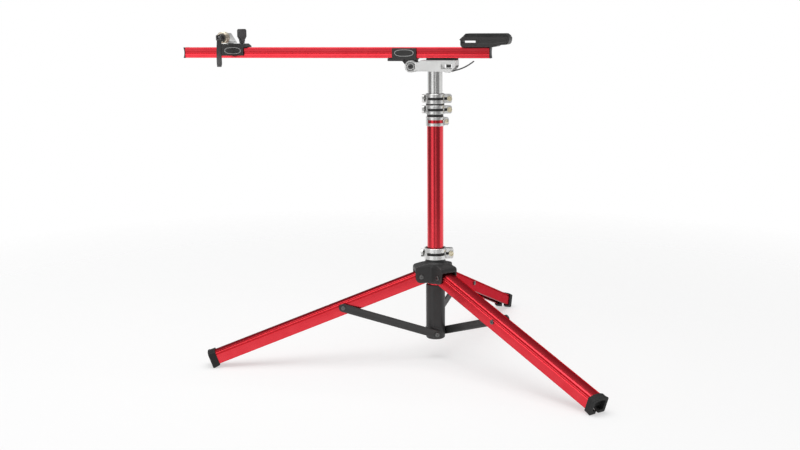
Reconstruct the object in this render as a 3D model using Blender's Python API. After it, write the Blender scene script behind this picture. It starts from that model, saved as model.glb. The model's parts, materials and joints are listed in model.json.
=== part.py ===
"""Folding bicycle repair stand with three braced legs, a telescoping mast and a hinged top beam.

Each piece is modelled in the stand's own coordinates: the mast axis is x = y = 0, the floor is z = 0 and the
beam lies along X, with its fork end at -X. The empty "stand" then carries the mast axis to its place, so that the
world's origin is the bottom centre of the whole stand. Every moving body hangs on an empty on its joint's axis.
Leg and brace pieces use a leg frame instead: +X along the leg, +Y to the leg's left and +Z out of its top.
"""

from math import atan2, cos, pi, radians, sin, sqrt, tan

import bmesh
import bpy
from mathutils import Matrix, Vector

# Driving dimensions, in metres and radians.
MAST_X = 0.0922
MAST_Y = -0.0935
GAP = 0.0003
WALL = 0.0020

TUBE_RADIUS = 0.01905
TUBE_BORE = 0.01745
TUBE_BOTTOM = 0.0498
TUBE_TOP = 0.5725

MAST_RADIUS = 0.0170
MAST_BORE = 0.0154
MAST_BOTTOM = 0.1000
MAST_TOP = 0.6894

HUB_RADIUS = 0.0225
HUB_BOTTOM = 0.0465
HUB_TOP = 0.1780
HUB_PIVOT_Z = 0.0600
HUB_FLAT = 0.0213

YOKE_PIVOT_Z = 0.2000
YOKE_PIVOT_R = 0.0370
YOKE_BOTTOM = 0.1810
HOOD_BOTTOM = 0.1850
HOOD_ROOF = 0.2152
HOOD_TOP = 0.2285
YOKE_NECK_TOP = 0.2380
YOKE_SLEEVE_TOP = 0.2640
YOKE_HALF = 0.0235
YOKE_REACH = 0.0510
YOKE_START = 0.0080
YOKE_SLEEVE = 0.0220
YOKE_NECK = 0.0235
YOKE_FLARE = 0.0285

LEG_AZIMUTHS = (radians(202), radians(322), radians(82))
LEG_SLOPE = radians(19.8)
LEG_HALF = 0.0187
LEG_TOP = 0.0120
LEG_BOTTOM = -0.0188
LEG_SHOULDER = 0.0080
LEG_LIP = 0.0105
LEG_START = -0.0080
LEG_END = 0.5240
LEG_RELIEF = 0.0340
FOOT_START = 0.5100
FOOT_WEB = 0.5140
FOOT_END = 0.5270
FOOT_SKIN = 0.0024
FOOT_HEEL = 0.0027
FOOT_TOE = 0.0054
FOOT_MOUTH = 0.0045
FOOT_LINING = 0.0015

BRACE_BOLT = 0.1977
BRACE_ANGLE = radians(18.2)
BRACE_LENGTH = 0.2337
BRACE_HALF = 0.0095
BRACE_INNER = 0.0217
BRACE_OUTER = 0.0262
BOLT_RADIUS = 0.0030
BOLT_HOLE = 0.0033
BOLT_HEAD = 0.0055

EAR_AZIMUTH = radians(15)
EAR_SLIT = 0.0012
EYE_RADIUS = 0.0045

HINGE_X = -0.0530
HINGE_Z = 0.6880
HEAD_HALF = 0.0195
HEAD_DISC = 0.0140
EAR_HALF = 0.0080

BEAM_BOTTOM = 0.7065
BEAM_TOP = 0.7312
BEAM_HALF = 0.0125
BEAM_LEFT = -0.6150
BEAM_RIGHT = 0.1282
CAP_LEFT = -0.6200
CAP_RIGHT = 0.1308
COLLAR_HALF = 0.0160

AXLE_X = -0.5050
AXLE_Z = 0.7550
AXLE_ROD = 0.0045
AXLE_REACH = 0.0500
KNOB_X = -0.4725
KNOB_TURN = radians(53)
CRADLE_AXIS_X = 0.1080
CRADLE_HALF = 0.0220
LOCK_X = 0.0350
LOCK_Z = 0.6800

ROUND = 32
SMALL = 16

RED = ("red_anodised", (0.55, 0.012, 0.025), 0.28, 0.85)
BLACK = ("black_plastic", (0.018, 0.018, 0.020), 0.55, 0.0)
RUBBER = ("black_rubber", (0.014, 0.014, 0.014), 0.80, 0.0)
SILVER = ("satin_aluminium", (0.70, 0.71, 0.72), 0.32, 1.0)
BRASS = ("brass", (0.72, 0.58, 0.32), 0.30, 1.0)
STEEL = ("black_steel", (0.045, 0.045, 0.050), 0.38, 0.9)
CHAMPAGNE = ("champagne_aluminium", (0.72, 0.62, 0.47), 0.35, 1.0)


# ---------------------------------------------------------------- shapes


def material(kind):
    """The material of one piece, a Principled BSDF with the piece's colour, roughness and metallic value."""
    name, colour, roughness, metallic = kind
    made = bpy.data.materials.new(name)
    made.use_nodes = True
    shader = made.node_tree.nodes["Principled BSDF"]
    shader.inputs["Base Color"].default_value = (*colour, 1.0)
    shader.inputs["Roughness"].default_value = roughness
    shader.inputs["Metallic"].default_value = metallic
    made.diffuse_color = (*colour, 1.0)
    return made


def shape(bm):
    """A scene object holding a bmesh whose faces all point outwards."""
    bmesh.ops.recalc_face_normals(bm, faces=bm.faces)
    mesh = bpy.data.meshes.new("shape")
    bm.to_mesh(mesh)
    bm.free()
    made = bpy.data.objects.new("shape", mesh)
    bpy.context.scene.collection.objects.link(made)
    return made


def arc(centre_x, centre_y, radius, start, end, steps):
    """Points on an arc from one angle to another, in degrees."""
    points = []
    for step in range(steps + 1):
        angle = radians(start + (end - start) * step / steps)
        points.append((centre_x + radius * cos(angle), centre_y + radius * sin(angle)))
    return points


def slab(outline, low, high, axis="z"):
    """An outline extruded from low to high: (x, y) along z, (x, z) along y or (y, z) along x."""
    lift = {
        "z": lambda a, b, c: (a, b, c),
        "y": lambda a, b, c: (a, c, b),
        "x": lambda a, b, c: (c, a, b),
    }[axis]
    bm = bmesh.new()
    lower = [bm.verts.new(lift(a, b, low)) for a, b in outline]
    upper = [bm.verts.new(lift(a, b, high)) for a, b in outline]
    count = len(outline)
    for i in range(count):
        j = (i + 1) % count
        bm.faces.new((lower[i], lower[j], upper[j], upper[i]))
    bm.faces.new(lower)
    bm.faces.new(reversed(upper))
    return shape(bm)


def box(x0, x1, y0, y1, z0, z1):
    """A plain box between two corners."""
    return slab([(x0, y0), (x1, y0), (x1, y1), (x0, y1)], z0, z1)


def turned(profile, segments=ROUND):
    """A closed profile of (radius, z) points turned about the Z axis."""
    bm = bmesh.new()
    rings = []
    for step in range(segments):
        angle = 2 * pi * step / segments
        rings.append([bm.verts.new((r * cos(angle), r * sin(angle), z)) for r, z in profile])
    count = len(profile)
    for step in range(segments):
        here = rings[step]
        there = rings[(step + 1) % segments]
        for i in range(count):
            j = (i + 1) % count
            bm.faces.new((here[i], there[i], there[j], here[j]))
    bmesh.ops.remove_doubles(bm, verts=bm.verts, dist=1e-6)
    return shape(bm)


def pipe(bore, radius, low, high, segments=ROUND):
    """A tube about the Z axis."""
    return turned([(bore, low), (radius, low), (radius, high), (bore, high)], segments)


def rod(radius, start, end, segments=SMALL):
    """A round rod between two points."""
    start = Vector(start)
    along = Vector(end) - start
    bm = bmesh.new()
    turn = along.to_track_quat("Z", "Y").to_matrix().to_4x4()
    middle = Matrix.Translation(start + along / 2)
    bmesh.ops.create_cone(
        bm,
        cap_ends=True,
        segments=segments,
        radius1=radius,
        radius2=radius,
        depth=along.length,
        matrix=middle @ turn,
    )
    return shape(bm)


def carve(target, tool, operation):
    """Applies one exact Boolean to target and removes the tool."""
    modifier = target.modifiers.new("boolean", "BOOLEAN")
    modifier.operation = operation
    modifier.solver = "EXACT"
    modifier.object = tool
    bpy.context.view_layer.update()
    evaluated = target.evaluated_get(bpy.context.evaluated_depsgraph_get())
    result = bpy.data.meshes.new_from_object(evaluated)
    target.modifiers.clear()
    target.data = result
    bpy.data.objects.remove(tool)
    return target


def cut(target, *tools):
    for tool in tools:
        carve(target, tool, "DIFFERENCE")
    return target


def join(target, *tools):
    for tool in tools:
        carve(target, tool, "UNION")
    return target


def moved(made, matrix):
    """Moves a shape's mesh, not its object."""
    made.data.transform(matrix)
    return made


def strip(points, widths):
    """The outline of a band that follows a line of points, with a half width at each."""
    left = []
    right = []
    for i, (x, y) in enumerate(points):
        ax, ay = points[max(i - 1, 0)]
        bx, by = points[min(i + 1, len(points) - 1)]
        length = sqrt((bx - ax) ** 2 + (by - ay) ** 2)
        nx = -(by - ay) / length
        ny = (bx - ax) / length
        left.append((x + nx * widths[i], y + ny * widths[i]))
        right.append((x - nx * widths[i], y - ny * widths[i]))
    return left + right[::-1]


# ---------------------------------------------------------------- pieces and joints


def joint(name, parent, location=(0, 0, 0), rotation=(0, 0, 0)):
    """An empty on a joint's axis, placed in its parent's coordinates."""
    empty = bpy.data.objects.new(name, None)
    empty.empty_display_size = 0.03
    bpy.context.scene.collection.objects.link(empty)
    empty.parent = parent
    empty.location = location
    empty.rotation_euler = rotation
    bpy.context.view_layer.update()
    return empty


def piece(made, name, kind, parent):
    """Names a shape modelled in its joint's coordinates and hangs it there."""
    made.name = name
    made.data.name = name
    made.data.materials.clear()
    made.data.materials.append(material(kind))
    made.data.shade_smooth()
    made.data.set_sharp_from_angle(angle=radians(35))
    made.parent = parent
    return made


def stand_piece(made, name, kind, parent, stand):
    """Names a shape modelled in the stand's coordinates and hangs it on a joint at rest."""
    to_joint = parent.matrix_world.inverted() @ stand.matrix_world
    made.data.transform(to_joint)
    return piece(made, name, kind, parent)


# ---------------------------------------------------------------- legs and braces


def leg_outline(inset, lip, floor):
    """The leg's outer section (y, z) moved inwards by inset, from its left lip over its top to its right lip."""
    half = LEG_HALF - inset
    shoulder = LEG_SHOULDER - inset * 0.6
    crown = LEG_TOP - inset
    steps = 8
    points = [(lip, floor), (half, floor), (half, shoulder)]
    for step in range(1, steps):
        across = half * (1 - 2 * step / steps)
        rise = (crown - shoulder) * (1 - (across / half) ** 2)
        points.append((across, shoulder + rise))
    points += [(-half, shoulder), (-half, floor), (-lip, floor)]
    return points


def leg_channel():
    """A channel open underneath, with a crowned top and a lip along each lower edge, cut back at the yoke."""
    outer = leg_outline(0, LEG_LIP, LEG_BOTTOM)
    inner = leg_outline(WALL, LEG_LIP, LEG_BOTTOM + WALL)
    made = slab(outer + inner[::-1], LEG_START, LEG_END, "x")
    room = LEG_HALF - WALL
    cut(made, box(LEG_START - 0.01, LEG_RELIEF, -room, room, LEG_BOTTOM - 0.01, LEG_BOTTOM + 0.006))
    for along in (0, BRACE_BOLT):
        cut(made, rod(BOLT_HOLE, (along, -0.03, 0), (along, 0.03, 0), 12))
    return made


def foot_sleeve():
    """A rubber sleeve round the leg's end with a web across it and two soles cut level with the floor."""
    outer = leg_outline(-(GAP + FOOT_SKIN), FOOT_MOUTH, LEG_BOTTOM - FOOT_TOE)
    hollow = leg_outline(WALL + FOOT_LINING, FOOT_MOUTH, LEG_BOTTOM + WALL + FOOT_LINING)
    made = slab(outer + hollow[::-1], FOOT_START, FOOT_END, "x")
    pocket = leg_outline(-GAP, LEG_LIP - GAP, LEG_BOTTOM - GAP)
    inside = leg_outline(WALL + GAP, LEG_LIP - GAP, LEG_BOTTOM + WALL + GAP)
    cut(made, slab(pocket + inside[::-1], FOOT_START - 0.01, LEG_END + GAP, "x"))
    web = leg_outline(WALL + FOOT_LINING / 2, FOOT_MOUTH, LEG_BOTTOM + WALL + FOOT_LINING / 2)
    join(made, slab(web, FOOT_WEB, FOOT_WEB + 0.0020, "x"))
    toe = FOOT_END - 0.0038
    under = [(FOOT_START - 0.001, LEG_BOTTOM - FOOT_HEEL), (toe, LEG_BOTTOM - FOOT_TOE)]
    under += [(toe, LEG_BOTTOM - 0.02), (FOOT_START - 0.001, LEG_BOTTOM - 0.02)]
    cut(made, slab(under, -0.05, 0.05, "y"))
    floor = box(-0.05, 0.05, -0.05, 0.05, -0.03, 0)
    to_floor = Matrix.Rotation(-LEG_SLOPE, 4, "Y")
    reach = YOKE_PIVOT_Z * sin(LEG_SLOPE)
    drop = YOKE_PIVOT_Z * cos(LEG_SLOPE)
    along = FOOT_END * cos(LEG_SLOPE)
    shift = Vector((reach + along * cos(LEG_SLOPE), 0, -drop + along * sin(LEG_SLOPE)))
    return cut(made, moved(floor, Matrix.Translation(shift) @ to_floor))


def brace_bar():
    """A flat bar with round ends and a hole at each pivot."""
    ends = arc(0, 0, BRACE_HALF, 90, 270, 8) + arc(BRACE_LENGTH, 0, BRACE_HALF, -90, 90, 8)
    made = slab(ends, BRACE_INNER, BRACE_OUTER, "y")
    for along in (0, BRACE_LENGTH):
        cut(made, rod(BOLT_HOLE, (along, 0, 0), (along, 0.05, 0), 12))
    return made


def leg_bolt():
    """The bolt across the leg at its brace, with its head on the side away from the brace."""
    head = rod(BOLT_HEAD, (0, -LEG_HALF - 0.0020, 0), (0, -LEG_HALF - GAP, 0))
    return join(rod(BOLT_RADIUS, (0, -LEG_HALF - 0.0010, 0), (0, LEG_HALF, 0), 12), head)


def brace_pin():
    """The pin in the brace's outer end, with a spacer against the leg."""
    spacer = rod(0.0060, (0, LEG_HALF + GAP, 0), (0, BRACE_INNER - GAP, 0))
    head = rod(0.0050, (0, BRACE_OUTER + GAP, 0), (0, BRACE_OUTER + 0.0018, 0))
    return join(rod(BOLT_RADIUS, (0, BRACE_INNER - 0.001, 0), (0, BRACE_OUTER + 0.001, 0), 12), spacer, head)


def hub_screw():
    """The screw that holds a brace's inner end to the hub."""
    head = rod(BOLT_HEAD, (0, BRACE_OUTER + GAP, 0), (0, BRACE_OUTER + 0.0024, 0))
    return join(rod(BOLT_RADIUS, (0, TUBE_RADIUS + 0.0005, 0), (0, BRACE_OUTER + 0.001, 0), 12), head)


def pivot_bolt():
    """The bolt across the yoke's cheeks that a leg turns on."""
    made = rod(BOLT_RADIUS, (0, -YOKE_HALF - 0.001, 0), (0, YOKE_HALF + 0.001, 0), 12)
    for side in (-1, 1):
        head = rod(BOLT_HEAD, (0, side * (YOKE_HALF + GAP), 0), (0, side * (YOKE_HALF + 0.0022), 0))
        join(made, head)
    return made


def add_legs(stand, yoke_joint):
    """Three legs on the yoke and three braces on the hub."""
    channel = leg_channel()
    sleeve = foot_sleeve()
    bar = brace_bar()
    for number, azimuth in enumerate(LEG_AZIMUTHS, 1):
        out = Vector((YOKE_PIVOT_R * cos(azimuth), YOKE_PIVOT_R * sin(azimuth), 0))
        leg_joint = joint(f"leg_{number}_joint", yoke_joint, out, (0, LEG_SLOPE, azimuth))
        brace_place = (0, 0, HUB_PIVOT_Z)
        brace_joint = joint(f"brace_{number}_joint", stand, brace_place, (0, -BRACE_ANGLE, azimuth))
        piece(copy(channel), f"leg_{number}", RED, leg_joint)
        piece(copy(sleeve), f"foot_{number}", RUBBER, leg_joint)
        piece(moved(leg_bolt(), Matrix.Translation((BRACE_BOLT, 0, 0))), f"leg_bolt_{number}", STEEL, leg_joint)
        piece(copy(bar), f"brace_{number}", BLACK, brace_joint)
        pin = moved(brace_pin(), Matrix.Translation((BRACE_LENGTH, 0, 0)))
        piece(pin, f"brace_pin_{number}", STEEL, brace_joint)
        flat = Matrix.Rotation(azimuth, 4, "Z")
        piece(moved(pivot_bolt(), Matrix.Translation(out) @ flat), f"leg_pivot_bolt_{number}", STEEL, yoke_joint)
        screw = moved(hub_screw(), Matrix.Translation((0, 0, HUB_PIVOT_Z)) @ flat)
        piece(screw, f"hub_screw_{number}", STEEL, stand)
    for pattern in (channel, sleeve, bar):
        bpy.data.objects.remove(pattern)


def copy(made):
    """A second object with its own copy of the mesh."""
    twin = bpy.data.objects.new(made.name, made.data.copy())
    bpy.context.scene.collection.objects.link(twin)
    return twin


# ---------------------------------------------------------------- hub, yoke and tubes


def hub_column():
    """The casting at the tube's lower end, with a flat for each brace."""
    rim = arc(HUB_RADIUS - 0.004, HUB_BOTTOM + 0.004, 0.004, -90, 0, 4)
    bore = TUBE_RADIUS + GAP
    profile = [(0.006, HUB_BOTTOM)] + rim
    profile += [(HUB_RADIUS, HUB_TOP), (bore, HUB_TOP), (bore, TUBE_BOTTOM - GAP), (0.006, TUBE_BOTTOM - GAP)]
    made = turned(profile)
    for azimuth in LEG_AZIMUTHS:
        turn = Matrix.Rotation(azimuth, 4, "Z")
        cut(made, moved(box(-0.03, 0.03, HUB_FLAT, 0.04, 0, 0.3), turn))
        hole = rod(BOLT_HOLE, (0, 0.010, HUB_PIVOT_Z), (0, 0.040, HUB_PIVOT_Z), 12)
        cut(made, moved(hole, turn))
    return made


def yoke_arm():
    """One of the yoke's three hoods: two cheeks and a sloping roof, with room for the leg to swing."""
    outline = [(YOKE_START, HOOD_BOTTOM), (0.038, HOOD_BOTTOM)]
    outline += arc(0.038, 0.197, 0.012, -80, 0, 5)
    outline += arc(YOKE_REACH - 0.009, HOOD_TOP - 0.013, 0.009, 0, 80, 5)
    outline.append((YOKE_START, HOOD_TOP))
    made = slab(outline, -YOKE_HALF, YOKE_HALF, "y")
    room = LEG_HALF + 0.0006
    slope = (0.0800, HOOD_ROOF - 0.0410 * tan(LEG_SLOPE))
    inside = [(0, 0.15), (0.0800, 0.15), slope, (0.0390, HOOD_ROOF), (0, HOOD_ROOF)]
    cut(made, slab(inside, -room, room, "y"))
    hole = rod(BOLT_HOLE, (YOKE_PIVOT_R, -0.03, YOKE_PIVOT_Z), (YOKE_PIVOT_R, 0.03, YOKE_PIVOT_Z), 12)
    return cut(made, hole)


def yoke_casting():
    """The sliding yoke: a split sleeve on the tube with three hoods."""
    profile = [
        (0.0175, YOKE_BOTTOM),
        (YOKE_SLEEVE, YOKE_BOTTOM),
        (YOKE_SLEEVE, HOOD_ROOF + 0.0030),
        (YOKE_FLARE, HOOD_ROOF + 0.0065),
        (YOKE_FLARE, HOOD_TOP + 0.0007),
        (YOKE_NECK, HOOD_TOP + 0.0055),
        (YOKE_NECK, YOKE_NECK_TOP),
        (YOKE_SLEEVE, YOKE_NECK_TOP),
        (YOKE_SLEEVE, YOKE_SLEEVE_TOP),
        (0.0175, YOKE_SLEEVE_TOP),
    ]
    made = turned(profile)
    for azimuth in LEG_AZIMUTHS:
        join(made, moved(yoke_arm(), Matrix.Rotation(azimuth, 4, "Z")))
    return cut(made, rod(TUBE_RADIUS + GAP, (0, 0, 0.1), (0, 0, 0.3), ROUND))


# ---------------------------------------------------------------- clamps and their levers


def ring_sector(inner, outer, start, end, low, high):
    """A wedge of a ring between two azimuths in degrees."""
    outline = arc(0, 0, outer, start, end, 12) + arc(0, 0, inner, end, start, 12)
    return slab(outline, low, high)


def clamp_ring(bore, radius, low, high, slot, ear_end, ear_thick, bolt_x):
    """A split ring with two ears along +X, and a slot through the wall on its front."""
    made = pipe(bore, radius, low, high)
    reach = EAR_SLIT + ear_thick
    rounded = (high - low) / 2 - 0.0015
    middle = (low + high) / 2
    start = (bore + radius) / 2
    ears = [(start, middle - rounded), (ear_end - 0.005, middle - rounded)]
    ears += [(ear_end, middle - rounded + 0.005), (ear_end, middle + rounded - 0.005)]
    ears += [(ear_end - 0.005, middle + rounded), (start, middle + rounded)]
    join(made, slab(ears, -reach, reach, "y"))
    cut(made, rod(bore, (0, 0, low - 0.01), (0, 0, high + 0.01), ROUND))
    cut(made, box(bore * 0.5, ear_end + 0.01, -EAR_SLIT, EAR_SLIT, low - 0.01, high + 0.01))
    cut(made, rod(BOLT_HOLE, (bolt_x, -0.03, middle), (bolt_x, 0.03, middle), 12))
    window = ring_sector(bore - 0.002, radius + 0.002, -142, -22, middle - slot / 2, middle + slot / 2)
    return cut(made, window)


def eye_bolt(bolt_x, middle, nut_y, eye_y, nut_radius):
    """A bolt through a clamp's ears: a round nut in front and an eye at the back."""
    made = rod(BOLT_RADIUS - GAP, (bolt_x, -nut_y - 0.003, middle), (bolt_x, eye_y, middle), 12)
    nut = rod(nut_radius, (bolt_x, -nut_y - 0.0055, middle), (bolt_x, -nut_y, middle))
    eye = rod(EYE_RADIUS, (bolt_x, eye_y, middle - 0.0032), (bolt_x, eye_y, middle + 0.0032), 12)
    hole = rod(0.0022, (bolt_x, eye_y, middle - 0.01), (bolt_x, eye_y, middle + 0.01), 12)
    return cut(join(made, nut, eye), hole)


def ring_lever(radius, pin_x, pin_y, middle, height):
    """A cam lever that turns on a vertical pin and wraps round the back of a clamp ring."""
    line = radius + 0.0032
    pin_radius = sqrt(pin_x**2 + pin_y**2)
    pin_angle = atan2(pin_y, pin_x) * 180 / pi
    points = []
    widths = []
    steps = 20
    for step in range(steps + 1):
        angle = pin_angle + (187 - pin_angle) * step / steps
        inwards = max(0.0, 1 - (angle - pin_angle) / 38) ** 2
        outwards = max(0.0, (angle - 150) / 37) ** 2
        distance = line + (pin_radius - line) * inwards + 0.0030 * outwards
        points.append((distance * cos(radians(angle)), distance * sin(radians(angle))))
        pad = min(1.0, max(0.0, (step / steps - 0.80) / 0.12))
        widths.append(0.0020 + 0.0015 * pad)
    made = slab(strip(points, widths), middle - height / 2, middle + height / 2)
    cam = rod(0.0062, (pin_x, pin_y, middle - 0.0062), (pin_x, pin_y, middle + 0.0062))
    join(made, cam)
    cut(made, rod(EYE_RADIUS + 0.0006, (pin_x, pin_y, middle - 0.0036), (pin_x, pin_y, middle + 0.0036)))
    cut(made, box(pin_x - 0.0033, pin_x + 0.012, pin_y - 0.012, pin_y + 0.0055, middle - 0.0036, middle + 0.0036))
    return join(made, rod(0.0019, (pin_x, pin_y, middle - 0.0055), (pin_x, pin_y, middle + 0.0055), 12))


def add_clamp(prefix, owner, stand, bore, radius, low, high, slot, height):
    """A quick-release clamp: its ring and eye bolt on one body, and its lever on a joint of its own."""
    middle = (low + high) / 2
    ear_end = radius + 0.0160
    pin_x = radius + 0.0107
    pin_y = 0.0140
    turn = Matrix.Rotation(EAR_AZIMUTH, 4, "Z")
    ring = clamp_ring(bore, radius, low, high, slot, ear_end, 0.0062, pin_x)
    stand_piece(moved(ring, turn), f"{prefix}_clamp", SILVER, owner, stand)
    bolt = eye_bolt(pin_x, middle, EAR_SLIT + 0.0062 + GAP, pin_y, 0.0060)
    stand_piece(moved(bolt, turn), f"{prefix}_clamp_bolt", BRASS, owner, stand)
    pin = turn @ Vector((pin_x, pin_y, middle))
    place = owner.matrix_world.inverted() @ stand.matrix_world @ pin
    lever_joint = joint(f"{prefix}_lever_joint", owner, place)
    lever = ring_lever(radius, pin_x, pin_y, middle, height)
    stand_piece(moved(lever, turn), f"{prefix}_lever", SILVER, lever_joint, stand)


def add_tube_collar(stand):
    """The bolted collar at the red tube's top, two bands with the tube showing between them."""
    turn = Matrix.Rotation(EAR_AZIMUTH, 4, "Z")
    low = 0.5520
    high = TUBE_TOP
    middle = (low + high) / 2
    bolt_x = 0.0262
    ring = clamp_ring(TUBE_RADIUS + GAP, 0.0215, low, high, 0.0076, 0.0315, 0.0045, bolt_x)
    piece(moved(ring, turn), "tube_collar", SILVER, stand)
    bolt = rod(BOLT_RADIUS - GAP, (bolt_x, -0.008, middle), (bolt_x, 0.0095, middle), 12)
    head = rod(0.0046, (bolt_x, -0.0105, middle), (bolt_x, -0.0060, middle))
    piece(moved(join(bolt, head), turn), "tube_collar_bolt", BRASS, stand)


# ---------------------------------------------------------------- mast and head


def head_bracket():
    """The casting on the mast's top: two hinge cheeks, a rest for the beam and the lock's window."""
    outline = [(-0.050, 0.6768), (0.024, 0.6762), (0.029, 0.6742)]
    outline += arc(0.037, 0.6802, 0.0065, -110, -50, 3)
    outline += [(0.0500, 0.6840), (0.0520, 0.6900), (0.0520, 0.7020), (-0.0300, 0.7020)]
    outline += [(-0.0345, 0.6975), (-0.0500, 0.6990)]
    made = slab(outline, -HEAD_HALF, HEAD_HALF, "y")
    join(made, rod(HEAD_DISC, (HINGE_X, -HEAD_HALF, HINGE_Z), (HINGE_X, HEAD_HALF, HINGE_Z), ROUND))
    room = EAR_HALF + 0.0005
    cut(made, box(-0.09, -0.0340, -room, room, 0.66, 0.72))
    cut(made, rod(MAST_RADIUS + GAP, (0, 0, 0.65), (0, 0, MAST_TOP + GAP), ROUND))
    cut(made, box(0.0185, 0.0440, -0.03, 0.03, 0.6836, 0.6930))
    cut(made, box(0.0290, 0.0600, -0.0064, 0.0064, 0.66, 0.6845))
    cut(made, rod(0.0043, (HINGE_X, -0.03, HINGE_Z), (HINGE_X, 0.03, HINGE_Z)))
    cut(made, rod(0.0027, (0.0320, 0, 0.68), (0.0320, 0, 0.7010), 12))
    return cut(made, rod(0.0021, (LOCK_X, -0.012, LOCK_Z), (LOCK_X, 0.012, LOCK_Z), 12))


def lock_lever():
    """The thin curved lever that locks the beam, with its cam and pin."""
    start = (LOCK_X + 0.002, LOCK_Z - 0.0025)
    end = (0.0905, 0.6996)
    points = []
    widths = []
    steps = 12
    for step in range(steps + 1):
        t = step / steps
        rise = 0.25 * t + 0.75 * t**2.2
        points.append((start[0] + (end[0] - start[0]) * t, start[1] + (end[1] - start[1]) * rise))
        widths.append(0.0016 - 0.0004 * t)
    made = slab(strip(points, widths), -0.0060, 0.0060, "y")
    join(made, rod(0.0036, (LOCK_X, -0.0060, LOCK_Z), (LOCK_X, 0.0060, LOCK_Z)))
    return join(made, rod(0.0018, (LOCK_X, -0.0110, LOCK_Z), (LOCK_X, 0.0110, LOCK_Z), 12))


def add_mast(stand, mast):
    """The mast tube, its head and the pieces fixed to them."""
    stand_piece(pipe(MAST_BORE, MAST_RADIUS, MAST_BOTTOM, MAST_TOP), "mast_tube", SILVER, mast, stand)
    stand_piece(head_bracket(), "head_bracket", SILVER, mast, stand)
    pad = box(-0.0180, 0.0520, -0.0120, 0.0120, 0.7020 + GAP, BEAM_BOTTOM - GAP)
    stand_piece(pad, "beam_rest_pad", RUBBER, mast, stand)
    nut = rod(0.0056, (0.0320, 0, 0.6852), (0.0320, 0, 0.6924))
    join(nut, rod(0.0024, (0.0320, 0, 0.6900), (0.0320, 0, 0.7005), 12))
    stand_piece(nut, "lock_nut", STEEL, mast, stand)
    bolt = rod(0.0040, (HINGE_X, -HEAD_HALF - 0.001, HINGE_Z), (HINGE_X, HEAD_HALF + 0.001, HINGE_Z))
    for side in (-1, 1):
        head = rod(0.0062, (HINGE_X, side * (HEAD_HALF + GAP), HINGE_Z), (HINGE_X, side * 0.0220, HINGE_Z))
        join(bolt, head)
    stand_piece(bolt, "hinge_bolt", STEEL, mast, stand)
    plug = [(0.0040, 0.0950), (0.0168, 0.0950), (0.0168, 0.0997), (0.0150, 0.0997)]
    plug += [(0.0150, 0.1120), (0.0040, 0.1120)]
    stand_piece(turned(plug), "mast_plug", BLACK, mast, stand)
    place = Vector((LOCK_X, 0, LOCK_Z)) - Vector((0, 0, TUBE_TOP))
    lock_joint = joint("lock_lever_joint", mast, place)
    stand_piece(lock_lever(), "lock_lever", STEEL, lock_joint, stand)


# ---------------------------------------------------------------- beam


def beam_outline(inset):
    """The beam's section (y, z): a rounded square with a shallow groove along each side."""
    half = BEAM_HALF - inset
    low = BEAM_BOTTOM + inset
    high = BEAM_TOP - inset
    middle = (low + high) / 2
    corner = 0.0025
    right = arc(half - corner, low + corner, corner, -90, 0, 3)
    right += [(half, middle - 0.0032), (half - 0.0010, middle - 0.0018), (half - 0.0010, middle + 0.0018)]
    right += [(half, middle + 0.0032)] + arc(half - corner, high - corner, corner, 0, 90, 3)
    return right + [(-y, z) for y, z in reversed(right)]


def beam_extrusion():
    """The hollow beam, with a hole in its top wall for the cradle's bolt."""
    made = slab(beam_outline(0), BEAM_LEFT, BEAM_RIGHT, "x")
    cut(made, slab(beam_outline(WALL), BEAM_LEFT - 0.01, BEAM_RIGHT + 0.01, "x"))
    return cut(made, rod(BOLT_HOLE, (CRADLE_AXIS_X, 0, 0.72), (CRADLE_AXIS_X, 0, 0.74), 12))


def beam_cap(end, tip, scoop):
    """An end cap with a scooped outer face and a plug inside the beam."""
    side = 1 if tip > end else -1
    face = end + side * GAP
    middle = (BEAM_BOTTOM + BEAM_TOP) / 2
    half = (BEAM_TOP - BEAM_BOTTOM) / 2 + 0.0002
    outline = [(face, middle + half), (face, middle - half)]
    steps = 8
    for step in range(steps + 1):
        across = -1 + 2 * step / steps
        outline.append((tip - side * scoop * (1 - across**2), middle + half * across))
    made = slab(outline, -BEAM_HALF, BEAM_HALF, "y")
    inner = [(y * 0.97, middle + (z - middle) * 0.97) for y, z in beam_outline(WALL)]
    plug_start = face - side * 0.012
    plug_end = face + side * 0.001
    return join(made, slab(inner, min(plug_start, plug_end), max(plug_start, plug_end), "x"))


def hinge_collar():
    """The black channel under the beam with the hinge ear below it."""
    side_low = HINGE_Z + 0.0155
    made = box(-0.0980, -0.0410, -COLLAR_HALF, COLLAR_HALF, side_low, 0.7300)
    inner = BEAM_HALF + GAP
    cut(made, box(-0.12, 0, -inner, inner, BEAM_BOTTOM - GAP, 0.75))
    join(made, box(-0.1090, -0.0705, -0.0140, 0.0140, 0.7000, BEAM_BOTTOM - GAP))
    ear = [(-0.0760, side_low + 0.001), (-0.0760, 0.7000)]
    ear += arc(HINGE_X, HINGE_Z, 0.0108, 200, 350, 8) + [(-0.0415, 0.7000), (-0.0415, side_low + 0.001)]
    join(made, slab(ear, -EAR_HALF, EAR_HALF, "y"))
    return cut(made, rod(0.0043, (HINGE_X, -0.03, HINGE_Z), (HINGE_X, 0.03, HINGE_Z)))


def cradle_body():
    """The bottom bracket cradle: a base on the beam and a long overhanging top with a strap slot."""
    outline = [(0.0668, 0.7315), (0.1363, 0.7315), (0.1460, 0.7330), (0.1490, 0.7358), (0.1690, 0.7372)]
    outline += [(0.1722, 0.7400), (0.1745, 0.7470), (0.1745, 0.7520), (0.1727, 0.7555), (0.0688, 0.7555)]
    outline += [(0.0634, 0.7506), (0.0610, 0.7486), (0.0634, 0.7465), (0.0634, 0.7366)]
    made = slab(outline, -CRADLE_HALF, CRADLE_HALF, "y")
    cut(made, box(0.0655, 0.0985, -0.05, 0.05, 0.7408, 0.7462))
    return cut(made, rod(BOLT_HOLE, (CRADLE_AXIS_X, 0, 0.72), (CRADLE_AXIS_X, 0, 0.7500), 12))


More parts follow.
